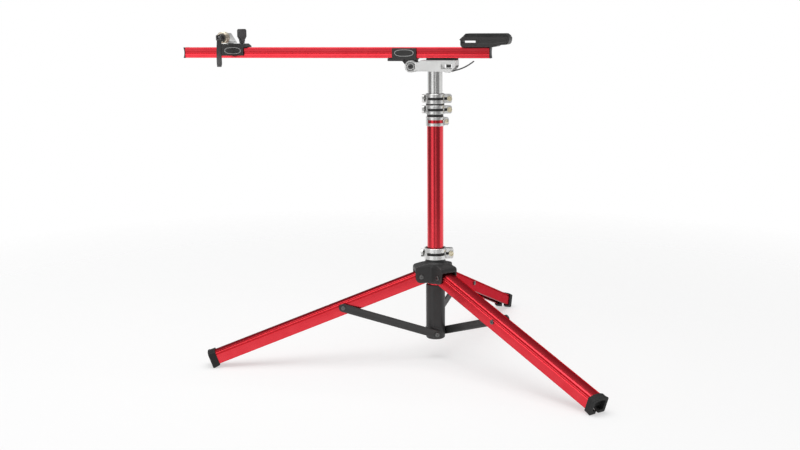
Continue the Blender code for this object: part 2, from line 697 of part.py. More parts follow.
def cradle_pad():
    """The rubber pad on the cradle, with sloping ends."""
    low = 0.7555 + GAP
    outline = [(0.0692, low), (0.1724, low), (0.1715, 0.7575), (0.1655, 0.7620), (0.0758, 0.7620)]
    return slab(outline, -CRADLE_HALF, CRADLE_HALF, "y")


def add_beam(stand, beam):
    """The beam and what is fixed to it."""
    stand_piece(beam_extrusion(), "beam", RED, beam, stand)
    stand_piece(beam_cap(BEAM_LEFT, CAP_LEFT, 0.0024), "beam_cap_front", BLACK, beam, stand)
    stand_piece(beam_cap(BEAM_RIGHT, CAP_RIGHT, 0.0012), "beam_cap_rear", BLACK, beam, stand)
    stand_piece(hinge_collar(), "hinge_collar", BLACK, beam, stand)
    bolt = rod(BOLT_RADIUS, (CRADLE_AXIS_X, 0, 0.7270), (CRADLE_AXIS_X, 0, 0.7495), 12)
    head = rod(0.0060, (CRADLE_AXIS_X, 0, 0.7250), (CRADLE_AXIS_X, 0, BEAM_TOP - WALL - GAP))
    stand_piece(join(bolt, head), "cradle_bolt", STEEL, beam, stand)


def add_cradle(stand, cradle):
    """The cradle and its pad."""
    stand_piece(cradle_body(), "bb_cradle", BLACK, cradle, stand)
    stand_piece(cradle_pad(), "bb_pad", RUBBER, cradle, stand)


# ---------------------------------------------------------------- fork carriage


def carriage_body():
    """The saddle that slides on the beam and carries the fork axle's block and the knob."""
    low = BEAM_TOP + GAP
    plate = [(-0.5300, low), (-0.4550, low), (-0.4550, 0.7345), (-0.4620, 0.7400), (-0.5240, 0.7400)]
    plate += [(-0.5300, 0.7370)]
    made = slab(plate, -COLLAR_HALF, COLLAR_HALF, "y")
    for side in (-1, 1):
        near = side * (BEAM_HALF + GAP)
        far = side * COLLAR_HALF
        join(made, box(-0.5300, -0.4640, min(near, far), max(near, far), 0.7120, low + 0.003))
    return cut(made, rod(BOLT_HOLE, (KNOB_X, 0, 0.72), (KNOB_X, 0, 0.76), 12))


def barrel(radius, near, far):
    """A round spacer on the fork axle with a chamfer at its outer end."""
    edge = 0.0015 if far > near else -0.0015
    bore = AXLE_ROD + GAP
    profile = [(bore, near), (radius, near), (radius, far - edge), (radius - 0.0015, far), (bore, far)]
    made = turned(profile)
    lie_down = Matrix.Rotation(radians(-90), 4, "X")
    return moved(made, Matrix.Translation((AXLE_X, 0, AXLE_Z)) @ lie_down)


def axle_block():
    """The block on the saddle that holds the axle's far end, with a sloping back."""
    low = 0.7400 + GAP
    high = AXLE_Z + 0.0100
    outline = [(-0.0265, low), (0.0285, low), (0.0285, 0.7425), (-0.0050, high), (-0.0265, high)]
    made = slab(outline, AXLE_X - 0.0075, AXLE_X + 0.0075, "x")
    return cut(made, rod(AXLE_ROD + GAP, (AXLE_X, -0.04, AXLE_Z), (AXLE_X, GAP, AXLE_Z)))


def axle_rod():
    """The fork axle, with an eye for its lever at the near end."""
    near = -AXLE_REACH - 0.0085
    made = rod(AXLE_ROD, (AXLE_X, -AXLE_REACH, AXLE_Z), (AXLE_X, 0, AXLE_Z))
    join(made, box(AXLE_X - 0.0025, AXLE_X + 0.0025, near, -AXLE_REACH + 0.001, AXLE_Z - 0.003, AXLE_Z + 0.003))
    join(made, rod(0.0036, (AXLE_X - 0.0025, near, AXLE_Z), (AXLE_X + 0.0025, near, AXLE_Z), 12))
    return cut(made, rod(0.0019, (AXLE_X - 0.01, near, AXLE_Z), (AXLE_X + 0.01, near, AXLE_Z), 12))


def axle_lever():
    """The black lever on the axle's near end, hanging straight down from its cam."""
    pin_y = -AXLE_REACH - 0.0085
    line = [(pin_y - 0.0020, AXLE_Z - 0.0010), (pin_y - 0.0030, 0.7400), (pin_y - 0.0020, 0.7150)]
    line += [(pin_y + 0.0005, 0.6872)]
    made = slab(strip(line, (0.0028, 0.0026, 0.0022, 0.0018)), AXLE_X - 0.0060, AXLE_X + 0.0060, "x")
    join(made, rod(0.0068, (AXLE_X - 0.0062, pin_y, AXLE_Z), (AXLE_X + 0.0062, pin_y, AXLE_Z)))
    cut(made, rod(0.0042, (AXLE_X - 0.0030, pin_y, AXLE_Z), (AXLE_X + 0.0030, pin_y, AXLE_Z)))
    low = AXLE_Z - 0.0036
    cut(made, box(AXLE_X - 0.0030, AXLE_X + 0.0030, pin_y - 0.02, pin_y + 0.02, low, AXLE_Z + 0.02))
    return join(made, rod(0.0016, (AXLE_X - 0.0055, pin_y, AXLE_Z), (AXLE_X + 0.0055, pin_y, AXLE_Z), 12))


def knob_body():
    """The paddle knob with its post and stud."""
    outline = [(-0.0052, 0.7450), (0.0052, 0.7450), (0.0052, 0.7495), (0.0098, 0.7565), (0.0098, 0.7700)]
    outline += [(0.0056, 0.7745), (-0.0056, 0.7745), (-0.0098, 0.7700), (-0.0098, 0.7565), (-0.0052, 0.7495)]
    made = slab(outline, -0.0056, 0.0056, "y")
    join(made, rod(0.0062, (0, 0, 0.7405), (0, 0, 0.7490)))
    join(made, rod(BOLT_RADIUS, (0, 0, BEAM_TOP + 2 * GAP), (0, 0, 0.7430), 12))
    turn = Matrix.Rotation(KNOB_TURN, 4, "Z")
    return moved(made, Matrix.Translation((KNOB_X, 0, 0)) @ turn)


def add_carriage(stand, beam, carriage):
    """The fork carriage with its axle, spacers, lever and knob."""
    stand_piece(carriage_body(), "fork_carriage", BLACK, carriage, stand)
    stand_piece(barrel(0.0134, -0.0270, -0.0450), "axle_barrel", CHAMPAGNE, carriage, stand)
    stand_piece(axle_block(), "axle_block", SILVER, carriage, stand)
    stand_piece(axle_rod(), "axle_rod", STEEL, carriage, stand)
    stand_piece(barrel(0.0088, -0.0453, -0.0510), "axle_cup", BLACK, carriage, stand)
    hinge = beam_point(AXLE_X, -AXLE_REACH - 0.0085, AXLE_Z)
    lever_joint = joint("axle_lever_joint", carriage, hinge)
    stand_piece(axle_lever(), "axle_lever", STEEL, lever_joint, stand)
    knob_joint = joint("knob_joint", carriage, beam_point(KNOB_X, 0, BEAM_TOP))
    stand_piece(knob_body(), "carriage_knob", BLACK, knob_joint, stand)


def beam_point(x, y, z):
    """A point of the stand in the coordinates of the beam's hinge."""
    return (x - HINGE_X, y, z - HINGE_Z)


# ---------------------------------------------------------------- the whole stand


def clear_scene():
    for made in list(bpy.data.objects):
        bpy.data.objects.remove(made)


def main():
    clear_scene()
    stand = joint("stand", None, (MAST_X, MAST_Y, 0))
    yoke = joint("yoke_joint", stand, (0, 0, YOKE_PIVOT_Z))
    swivel = joint("swivel_joint", stand, (0, 0, TUBE_TOP))
    mast = joint("mast_joint", swivel)
    beam = joint("beam_joint", mast, (HINGE_X, 0, HINGE_Z - TUBE_TOP))
    carriage = joint("carriage_joint", beam)
    cradle = joint("cradle_joint", beam, beam_point(CRADLE_AXIS_X, 0, BEAM_TOP))

    piece(pipe(TUBE_BORE, TUBE_RADIUS, TUBE_BOTTOM, TUBE_TOP), "lower_tube", RED, stand)
    piece(hub_column(), "hub_column", BLACK, stand)
    stand_piece(yoke_casting(), "yoke", BLACK, yoke, stand)
    add_legs(stand, yoke)
    add_clamp("yoke", yoke, stand, YOKE_SLEEVE + GAP, 0.0260, 0.2385, 0.2654, 0.0066, 0.0165)

    add_tube_collar(stand)
    sleeve_bore = MAST_RADIUS + GAP
    piece(pipe(sleeve_bore, 0.0190, 0.5728, 0.5788), "tube_bushing", BLACK, stand)
    add_clamp("rotation", stand, stand, 0.0194, 0.0223, 0.5791, 0.5995, 0.0062, 0.0165)
    stand_piece(pipe(sleeve_bore, 0.0191, 0.5793, 0.6262), "swivel_sleeve", BLACK, swivel, stand)
    stand_piece(pipe(0.0194, 0.0212, 0.5999, 0.6027), "swivel_washer", BLACK, swivel, stand)
    add_clamp("height", swivel, stand, 0.0194, 0.0223, 0.6031, 0.6258, 0.0062, 0.0170)

    add_mast(stand, mast)
    add_beam(stand, beam)
    add_cradle(stand, cradle)
    add_carriage(stand, beam, carriage)


main()
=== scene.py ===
"""Looks of a folding bicycle repair stand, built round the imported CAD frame.

Most pieces are modelled in the stand's own coordinates: mast axis x = y = 0, floor z = 0, beam along X.
Legs and braces lie along their own +X. Each piece stands in for its CAD node and rides on that node's body.
"""

import json
from math import atan2, cos, pi, radians, sin, sqrt, tan

import bmesh
import bpy
from mathutils import Matrix, Vector


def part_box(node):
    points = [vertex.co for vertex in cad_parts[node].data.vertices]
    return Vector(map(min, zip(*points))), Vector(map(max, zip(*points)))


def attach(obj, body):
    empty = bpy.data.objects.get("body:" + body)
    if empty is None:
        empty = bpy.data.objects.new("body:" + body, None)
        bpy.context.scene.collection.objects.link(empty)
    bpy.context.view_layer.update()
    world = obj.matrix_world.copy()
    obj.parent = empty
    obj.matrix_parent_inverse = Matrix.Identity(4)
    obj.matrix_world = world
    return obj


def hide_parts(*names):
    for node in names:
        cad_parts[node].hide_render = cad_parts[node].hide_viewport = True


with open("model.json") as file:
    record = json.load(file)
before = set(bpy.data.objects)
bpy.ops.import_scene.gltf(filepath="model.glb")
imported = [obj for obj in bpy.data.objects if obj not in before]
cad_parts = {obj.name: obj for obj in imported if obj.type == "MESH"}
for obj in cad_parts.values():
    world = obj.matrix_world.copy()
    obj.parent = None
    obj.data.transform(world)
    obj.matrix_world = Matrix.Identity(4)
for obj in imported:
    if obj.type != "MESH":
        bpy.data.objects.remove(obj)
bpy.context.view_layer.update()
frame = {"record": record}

mast_low, mast_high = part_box("mast_tube")
STAND = Matrix.Translation(((mast_low.x + mast_high.x) / 2, (mast_low.y + mast_high.y) / 2, 0))

BODY_OF = {node: body for body, nodes in frame["record"]["behaviour"]["bodies"].items() for node in nodes}

# The stand's driving dimensions, the same as the CAD's, in metres and radians.
GAP = 0.0003
WALL = 0.002

TUBE_RADIUS = 0.01905
TUBE_BORE = 0.01745
TUBE_BOTTOM = 0.0498
TUBE_TOP = 0.5725

MAST_RADIUS = 0.017
MAST_BORE = 0.0154
MAST_BOTTOM = 0.1
MAST_TOP = 0.6894

HUB_RADIUS = 0.0225
HUB_BOTTOM = 0.0465
HUB_TOP = 0.178
HUB_PIVOT_Z = 0.06
HUB_FLAT = 0.0213

YOKE_PIVOT_Z = 0.2
YOKE_PIVOT_R = 0.037
YOKE_BOTTOM = 0.181
HOOD_BOTTOM = 0.185
HOOD_ROOF = 0.2152
HOOD_TOP = 0.2285
YOKE_NECK_TOP = 0.238
YOKE_SLEEVE_TOP = 0.264
YOKE_HALF = 0.0235
YOKE_REACH = 0.051
YOKE_START = 0.008
YOKE_SLEEVE = 0.022
YOKE_NECK = 0.0235
YOKE_FLARE = 0.0285

LEG_AZIMUTHS = (radians(202), radians(322), radians(82))
LEG_SLOPE = radians(19.8)
LEG_HALF = 0.0187
LEG_TOP = 0.012
LEG_BOTTOM = -0.0188
LEG_SHOULDER = 0.008
LEG_LIP = 0.0105
LEG_START = -0.008
LEG_END = 0.524
LEG_RELIEF = 0.034
FOOT_START = 0.51
FOOT_WEB = 0.514
FOOT_END = 0.527
FOOT_SKIN = 0.0024
FOOT_HEEL = 0.0027
FOOT_TOE = 0.0054
FOOT_MOUTH = 0.0045
FOOT_LINING = 0.0015

BRACE_BOLT = 0.1977
BRACE_ANGLE = radians(18.2)
BRACE_LENGTH = 0.2337
BRACE_HALF = 0.0095
BRACE_INNER = 0.0217
BRACE_OUTER = 0.0262
BOLT_RADIUS = 0.003
BOLT_HOLE = 0.0033
BOLT_HEAD = 0.0055

EAR_AZIMUTH = radians(15)
EAR_SLIT = 0.0012
EYE_RADIUS = 0.0045

HINGE_X = -0.053
HINGE_Z = 0.688
HEAD_HALF = 0.0195
HEAD_DISC = 0.014
EAR_HALF = 0.008

BEAM_BOTTOM = 0.7065
BEAM_TOP = 0.7312
BEAM_HALF = 0.0125
BEAM_LEFT = -0.615
BEAM_RIGHT = 0.1282
CAP_LEFT = -0.62
CAP_RIGHT = 0.1308
COLLAR_HALF = 0.016

AXLE_X = -0.505
AXLE_Z = 0.755
AXLE_ROD = 0.0045
AXLE_REACH = 0.05
LEVER_PIN_Y = -AXLE_REACH - 0.0085
KNOB_X = -0.4725
KNOB_TURN = radians(53)
CRADLE_AXIS_X = 0.108
CRADLE_HALF = 0.022
LOCK_X = 0.035
LOCK_Z = 0.68

ROUND = 96
SMALL = 40

CAMERA_PLACE = (0.7134, -2.7327, 0.802)
CAMERA_AZIMUTH = 285.0


# ---------------- shapes


def shape(bm):
    """A scene object holding a bmesh whose faces all point outwards."""
    bmesh.ops.recalc_face_normals(bm, faces=bm.faces)
    mesh = bpy.data.meshes.new("shape")
    bm.to_mesh(mesh)
    bm.free()
    made = bpy.data.objects.new("shape", mesh)
    bpy.context.scene.collection.objects.link(made)
    return made


def arc(centre_x, centre_y, radius, start, end, steps):
    """Points on an arc from one angle to another, in degrees."""
    points = []
    for step in range(steps + 1):
        angle = radians(start + (end - start) * step / steps)
        points.append((centre_x + radius * cos(angle), centre_y + radius * sin(angle)))
    return points


def slab(outline, low, high, axis="z"):
    """An outline extruded from low to high: (x, y) along z, (x, z) along y or (y, z) along x."""
    lift = {
        "z": lambda a, b, c: (a, b, c),
        "y": lambda a, b, c: (a, c, b),
        "x": lambda a, b, c: (c, a, b),
    }[axis]
    bm = bmesh.new()
    lower = [bm.verts.new(lift(a, b, low)) for a, b in outline]
    upper = [bm.verts.new(lift(a, b, high)) for a, b in outline]
    count = len(outline)
    for i in range(count):
        j = (i + 1) % count
        bm.faces.new((lower[i], lower[j], upper[j], upper[i]))
    bm.faces.new(lower)
    bm.faces.new(reversed(upper))
    return shape(bm)


def side_slab(outline, side, near, far):
    """An outline (x, z) extruded between two distances from the middle plane, on one side of it."""
    return slab(outline, *sorted((side * near, side * far)), "y")


def box(x0, x1, y0, y1, z0, z1):
    """A plain box between two corners."""
    return slab([(x0, y0), (x1, y0), (x1, y1), (x0, y1)], z0, z1)


def turned(profile, segments=ROUND):
    """A closed profile of (radius, z) points turned about the Z axis."""
    bm = bmesh.new()
    rings = []
    for step in range(segments):
        angle = 2 * pi * step / segments
        rings.append([bm.verts.new((r * cos(angle), r * sin(angle), z)) for r, z in profile])
    count = len(profile)
    for step in range(segments):
        here = rings[step]
        there = rings[(step + 1) % segments]
        for i in range(count):
            j = (i + 1) % count
            bm.faces.new((here[i], there[i], there[j], here[j]))
    bmesh.ops.remove_doubles(bm, verts=bm.verts, dist=1e-6)
    return shape(bm)


def rod(radius, start, end, segments=SMALL):
    """A round rod between two points."""
    start = Vector(start)
    along = Vector(end) - start
    bm = bmesh.new()
    turn = along.to_track_quat("Z", "Y").to_matrix().to_4x4()
    middle = Matrix.Translation(start + along / 2)
    bmesh.ops.create_cone(
        bm,
        cap_ends=True,
        segments=segments,
        radius1=radius,
        radius2=radius,
        depth=along.length,
        matrix=middle @ turn,
    )
    return shape(bm)


def rod_y(radius, x, z, low, high, segments=SMALL):
    """A round rod along Y."""
    return rod(radius, (x, low, z), (x, high, z), segments)


def rod_z(radius, x, y, low, high, segments=SMALL):
    """A round rod along Z."""
    return rod(radius, (x, y, low), (x, y, high), segments)


def baked(made):
    """Applies every modifier of a shape to its mesh."""
    bpy.context.view_layer.update()
    evaluated = made.evaluated_get(bpy.context.evaluated_depsgraph_get())
    result = bpy.data.meshes.new_from_object(evaluated)
    made.modifiers.clear()
    made.data = result
    return made


def carve(target, tool, operation):
    """Applies one exact Boolean to target and removes the tool."""
    modifier = target.modifiers.new("boolean", "BOOLEAN")
    modifier.operation = operation
    modifier.solver = "EXACT"
    modifier.object = tool
    baked(target)
    bpy.data.objects.remove(tool)


def cut(target, *tools):
    for tool in tools:
        carve(target, tool, "DIFFERENCE")
    return target


def join(target, *tools):
    for tool in tools:
        carve(target, tool, "UNION")
    return target


def at(x, y, z):
    """A move by x, y and z."""
    return Matrix.Translation((x, y, z))


def turned_by(angle, axis="Z"):
    """A turn about an axis."""
    return Matrix.Rotation(angle, 4, axis)


def moved(made, matrix):
    """Moves a shape's mesh, not its object."""
    made.data.transform(matrix)
    return made


def ring_sector(inner, outer, start, end, low, high):
    """A wedge of a ring between two azimuths in degrees."""
    outline = arc(0, 0, outer, start, end, 12) + arc(0, 0, inner, end, start, 12)
    return slab(outline, low, high)


def leg_outline(inset, lip, floor):
    """The leg's outer section (y, z) moved inwards by inset, from lip to lip over its top."""
    half = LEG_HALF - inset
    shoulder = LEG_SHOULDER - inset * 0.6
    crown = LEG_TOP - inset
    steps = 8
    points = [(lip, floor), (half, floor), (half, shoulder)]
    for step in range(1, steps):
        across = half * (1 - 2 * step / steps)
        rise = (crown - shoulder) * (1 - (across / half) ** 2)
        points.append((across, shoulder + rise))
    points += [(-half, shoulder), (-half, floor), (-lip, floor)]
    return points


def beam_outline(inset):
    """The beam's section (y, z): a rounded square with a shallow groove along each side."""
    half = BEAM_HALF - inset
    low = BEAM_BOTTOM + inset
    high = BEAM_TOP - inset
    middle = (low + high) / 2
    corner = 0.0025
    right = arc(half - corner, low + corner, corner, -90, 0, 3)
    right += [(half, middle - 0.0032), (half - 0.001, middle - 0.0018), (half - 0.001, middle + 0.0018)]
    right += [(half, middle + 0.0032)] + arc(half - corner, high - corner, corner, 0, 90, 3)
    return right + [(-y, z) for y, z in reversed(right)]


# ---------------- materials


def feed(tree, node, inputs):
    """Links or sets some of a shader node's inputs."""
    for key, value in inputs.items():
        if isinstance(value, bpy.types.NodeSocket):
            tree.links.new(value, node.inputs[key])
        else:
            node.inputs[key].default_value = value
    return node


def add(tree, kind, inputs=None, **settings):
    """A new shader node with its settings and inputs."""
    made = tree.nodes.new(kind)
    for key, value in settings.items():
        setattr(made, key, value)
    return feed(tree, made, inputs or {})


def maths(tree, operation, *values):
    """The result of a Math node."""
    return add(tree, "ShaderNodeMath", dict(enumerate(values)), operation=operation).outputs["Value"]


def mixed(tree, factor, first, second, kind="RGBA"):
    """A mix of two colours or, where kind is FLOAT, of two values."""
    index, result = (6, 2) if kind == "RGBA" else (2, 0)
    inputs = {"Factor": factor, index: first, index + 1: second}
    return add(tree, "ShaderNodeMix", inputs, data_type=kind).outputs[result]


def ranged(tree, value, low, high, start=0.3, end=0.7):
    """Maps a noise value onto a smaller range."""
    inputs = {"Value": value, "From Min": start, "From Max": end, "To Min": low, "To Max": high}
    return add(tree, "ShaderNodeMapRange", inputs).outputs["Result"]


def new_material(name):
    """A material with its node tree and its shader."""
    made = bpy.data.materials.new(name)
    made.use_nodes = True
    return made, made.node_tree, made.node_tree.nodes["Principled BSDF"]


def surface(name, colour, roughness, metallic=0.0, **detail):
    """A Principled material with a fine grain, broad mottling and worn edges.

    grain is the fine noise's scale and stretch its scale along each axis, small where it is drawn into lines.
    bump is its relief and spread its effect on roughness. mottle varies the colour over broad patches.
    worn is the colour of rubbed edges and wear how far they show. tint colours grazing reflections.
    """
    made, tree, shader = new_material(name)
    where = add(tree, "ShaderNodeTexCoord").outputs["Object"]
    lines = add(tree, "ShaderNodeMapping", {"Vector": where, "Scale": detail.get("stretch", (1, 1, 1))})
    grain = {"Vector": lines.outputs["Vector"], "Scale": detail.get("grain", 1500.0), "Detail": 5.0}
    fine = add(tree, "ShaderNodeTexNoise", grain).outputs["Fac"]
    broad = add(tree, "ShaderNodeTexNoise", {"Vector": where, "Scale": 38.0, "Detail": 4.0}).outputs["Fac"]

    mottle = detail.get("mottle", 0.08)
    dark = tuple(channel * (1 - mottle) for channel in colour) + (1.0,)
    light = tuple(min(1.0, channel * (1 + mottle)) for channel in colour) + (1.0,)
    paint = mixed(tree, ranged(tree, broad, 0.0, 1.0), dark, light)
    edges = add(tree, "ShaderNodeNewGeometry").outputs["Pointiness"]
    rubbed = ranged(tree, edges, 0.0, detail.get("wear", 0.35), 0.505, 0.6)
    scuffed = maths(tree, "MULTIPLY", rubbed, broad)
    worn = detail.get("worn", light[:3]) + (1.0,)

    spread = detail.get("spread", 0.06)
    relief = {"Height": fine, "Strength": detail.get("bump", 0.1), "Distance": 0.0002}
    inputs = {
        "Base Color": mixed(tree, scuffed, paint, worn),
        "Roughness": ranged(tree, fine, roughness - spread, roughness + spread),
        "Normal": add(tree, "ShaderNodeBump", relief).outputs["Normal"],
        "Metallic": metallic,
        "Coat Weight": detail.get("coat", 0.0),
        "Coat Roughness": 0.12,
        "Specular IOR Level": detail.get("specular", 0.5),
        "Specular Tint": detail.get("tint", (1.0, 1.0, 1.0)) + (1.0,),
    }
    feed(tree, shader, inputs)
    return made


DRAWN_X = (0.015, 1.0, 1.0)
DRAWN_Z = (1.0, 1.0, 0.015)
RED_COLOUR = (0.74, 0.032, 0.048)
SILVER_COLOUR = (0.8, 0.8, 0.79)
PALE_RED = (0.86, 0.12, 0.14)
DEEP_EDGE = (0.36, 0.3, 0.32)
BARE = (0.72, 0.72, 0.71)
GREY_EDGE = (0.085, 0.083, 0.082)


def make_looks():
    """Every material of the stand, by a short name."""
    anodised = dict(metallic=0.95, bump=0.03, spread=0.02, mottle=0.02, worn=PALE_RED)
    extruded = dict(stretch=DRAWN_X, coat=0.04, tint=DEEP_EDGE, **anodised)
    metal = dict(metallic=1.0, worn=(0.92, 0.92, 0.91), mottle=0.03)
    drawn = dict(stretch=DRAWN_Z, grain=1300.0, bump=0.05, spread=0.04, **metal)
    blasted = dict(grain=2200.0, bump=0.22, spread=0.07, **metal)
    champagne = dict(metallic=0.9, bump=0.08, stretch=(1.0, 0.02, 1.0), mottle=0.03)
    plated = dict(metallic=0.75, worn=BARE, wear=0.3)
    oxide = dict(metallic=0.8, worn=BARE, wear=0.4)
    painted = dict(grain=1400.0, bump=0.16, worn=GREY_EDGE, wear=0.8)
    coated = dict(grain=1900.0, bump=0.3, worn=GREY_EDGE, wear=0.7, mottle=0.1, spread=0.09)
    nylon = dict(bump=0.34, worn=GREY_EDGE, wear=0.6, mottle=0.14, spread=0.1)
    coarse = dict(grain=1100.0, bump=0.5, worn=GREY_EDGE, wear=0.4, mottle=0.25, spread=0.1)
    rubber = dict(grain=1100.0, bump=0.45, worn=(0.07, 0.07, 0.07), wear=0.6, mottle=0.2, spread=0.1)
    return {
        "red_x": surface("red anodised extrusion", RED_COLOUR, 0.26, **extruded),
        "red_z": surface("red anodised tube", RED_COLOUR, 0.22, stretch=DRAWN_Z, coat=0.25, **anodised),
        "silver_z": surface("drawn aluminium tube", SILVER_COLOUR, 0.24, **drawn),
        "silver": surface("satin cast aluminium", SILVER_COLOUR, 0.33, grain=1700.0, spread=0.07, **metal),
        "blasted": surface("blasted cast aluminium", SILVER_COLOUR, 0.44, **blasted),
        "brass": surface("pale brass", (0.8, 0.73, 0.54), 0.27, metallic=1.0, grain=1600.0, mottle=0.07),
        "champagne": surface("champagne anodised aluminium", (0.76, 0.68, 0.55), 0.34, **champagne),
        "steel": surface("black plated steel", (0.05, 0.049, 0.05), 0.36, **plated),
        "bolt": surface("black oxide bolt", (0.13, 0.13, 0.13), 0.3, **oxide),
        "bar": surface("black painted bar", (0.036, 0.035, 0.035), 0.42, **painted),
        "casting": surface("black powder coated casting", (0.03, 0.029, 0.029), 0.47, **coated),
        "nylon": surface("black glass filled nylon", (0.027, 0.025, 0.025), 0.5, **nylon),
        "knob": surface("dark grey glass filled nylon", (0.085, 0.085, 0.087), 0.55, **coarse),
        "rubber": surface("black rubber", (0.022, 0.022, 0.022), 0.72, specular=0.35, **rubber),
        "label": surface("plain label", (0.42, 0.42, 0.42), 0.4, metallic=0.3, bump=0.12),
    }


# ---------------- finishing a shape


def cast(made, voxel, rounds=6, factor=0.5):
    """Rounds every edge of a shape as in a casting, with a fine remesh and a smoothing."""
    remesh = made.modifiers.new("remesh", "REMESH")
    remesh.mode = "VOXEL"
    remesh.voxel_size = voxel
    smooth = made.modifiers.new("smooth", "SMOOTH")
    smooth.factor = factor
    smooth.iterations = rounds
    made["angle"] = 60
    return baked(made)


def eased(made, width, segments=2):
    """Bevels the sharp edges of a shape."""
    bevel = made.modifiers.new("bevel", "BEVEL")
    bevel.width = width
    bevel.segments = segments
    bevel.limit_method = "ANGLE"
    bevel.angle_limit = radians(40)
    made["angle"] = 40
    return baked(made)


def ribbon(stations, up):
    """A bar with rounded corners, square to up, through stations (centre, half width, half height)."""
    up = Vector(up)
    last = len(stations) - 1
    bm = bmesh.new()
    rings = []
    for i, (centre, half_width, half_height) in enumerate(stations):
        ahead = Vector(stations[min(i + 1, last)][0]) - Vector(stations[max(i - 1, 0)][0])
        side = up.cross(ahead).normalized()
        ring = []
        for step in range(12):
            angle = 2 * pi * (step + 0.5) / 12
            across = max(-1, min(1, 1.35 * cos(angle)))
            along = max(-1, min(1, 1.35 * sin(angle)))
            offset = side * across * half_width + up * along * half_height
            ring.append(bm.verts.new(Vector(centre) + offset))
        rings.append(ring)
    for here, there in zip(rings, rings[1:]):
        for i in range(12):
            j = (i + 1) % 12
            bm.faces.new((here[i], here[j], there[j], there[i]))
    bm.faces.new(rings[0])
    bm.faces.new(reversed(rings[-1]))
    return shape(bm)


def fluted(radius, depth, low, high, count):
    """A knurled disc about the Z axis with rounded flutes."""
    outline = []
    for step in range(count * 4):
        angle = 2 * pi * step / (count * 4)
        reach = radius - depth * (0.5 + 0.5 * cos(count * angle))
        outline.append((reach * cos(angle), reach * sin(angle)))
    return slab(outline, low, high)


def button_head(radius, height, socket):
    """A domed screw head on the XY plane with a hexagonal socket."""
    profile = [(0, 0), (radius, 0), (radius, height * 0.45)]
    profile += arc(radius - height * 0.55, height * 0.45, height * 0.55, 15, 90, 5) + [(0, height)]
    made = turned(profile, SMALL)
    hexagon = [(socket * cos(radians(60 * i)), socket * sin(radians(60 * i))) for i in range(6)]
    return cut(made, slab(hexagon, height * 0.35, height + 0.01))


def along_y(made, x, y, z, side):
    """Turns a shape's +Z to side times +Y and moves it to a point."""
    return moved(made, at(x, y, z) @ turned_by(radians(-90 * side), "X"))


def headed(made, x, z, reach, *head):
    """Puts a button head on each end of a bolt along Y."""
    for side in (-1, 1):
        join(made, along_y(button_head(*head), x, side * reach, z, side))
    return made


def finish(made, look, node, matrix, sharp):
    """Gives a shape its material, shading and place, and its CAD node's body."""
    made.data.materials.clear()
    made.data.materials.append(LOOKS[look])
    made.data.shade_smooth()
    made.data.set_sharp_from_angle(angle=radians(sharp))
    made.matrix_world = matrix
    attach(made, BODY_OF[node])


def place(made, node, look, matrix=STAND):
    """Puts a finished shape in the CAD node's stead."""
    made.name = f"{node}_form"
    made.data.name = made.name
    finish(made, look, node, matrix, made.get("angle", 35))
    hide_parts(node)


def extra(made, name, look, node):
    """Adds a small shape with no CAD node of its own, on the body of the node that it sits on."""
    made.name = name
    finish(made, look, node, STAND, 35)


# ---------------- legs and braces


def leg_half_outline():
    """The right half of the leg's outer section (y, z), from its lip over its side to its crown."""
    points = [(LEG_LIP, LEG_BOTTOM)] + arc(LEG_HALF - 0.0012, LEG_BOTTOM + 0.0012, 0.0012, -90, 0, 4)
    side = [(0, 0.0036), (0.0016, 0.0046), (0.0016, 0.0058), (0.0003, 0.0068), (0.0002, 0.0084)]
    groove = [(0.0006, 0.0088), (0.001, 0.008), (0.005, 0.0084), (0.0056, 0.0098)]
    points += [(LEG_HALF - inset, z) for inset, z in side + groove]
    for across in (0.0118, 0.01, 0.007, 0.0035, 0.0):
        points.append((across, 0.0104 + (LEG_TOP - 0.0104) * (1 - (across / 0.0125) ** 2)))
    return points


def leg_profile():
    """The leg's whole section, a closed channel with a lip along each lower edge."""
    right = leg_half_outline()
    outer = right + [(-y, z) for y, z in right[-2::-1]]
    inner = leg_outline(WALL, LEG_LIP, LEG_BOTTOM + WALL)
    return outer + inner[::-1]


def leg_form():
    made = slab(leg_profile(), LEG_START, LEG_END, "x")
    room = LEG_HALF - WALL
    cut(made, box(LEG_START - 0.01, LEG_RELIEF, -room, room, LEG_BOTTOM - 0.01, LEG_BOTTOM + 0.006))
    for along in (0, BRACE_BOLT):
        cut(made, rod_y(BOLT_HOLE, along, 0, -0.03, 0.03))
    made["angle"] = 30
    return made


def rounded_leg_outline(grow, lip, floor, corner):
    """The leg's section grown by a margin, with rounded lower corners, for the rubber foot."""
    half = LEG_HALF + grow
    points = [(lip, floor)] + arc(half - corner, floor + corner, corner, -90, 0, 5)
    points += arc(half - corner * 0.7, LEG_SHOULDER + grow * 0.6 - corner * 0.2, corner * 0.7, 0, 50, 3)
    for across in (0.6, 0.3, 0.0):
        points.append((across * half, LEG_TOP + grow - 0.003 * across**2))
    return points + [(-y, z) for y, z in points[-2::-1]]


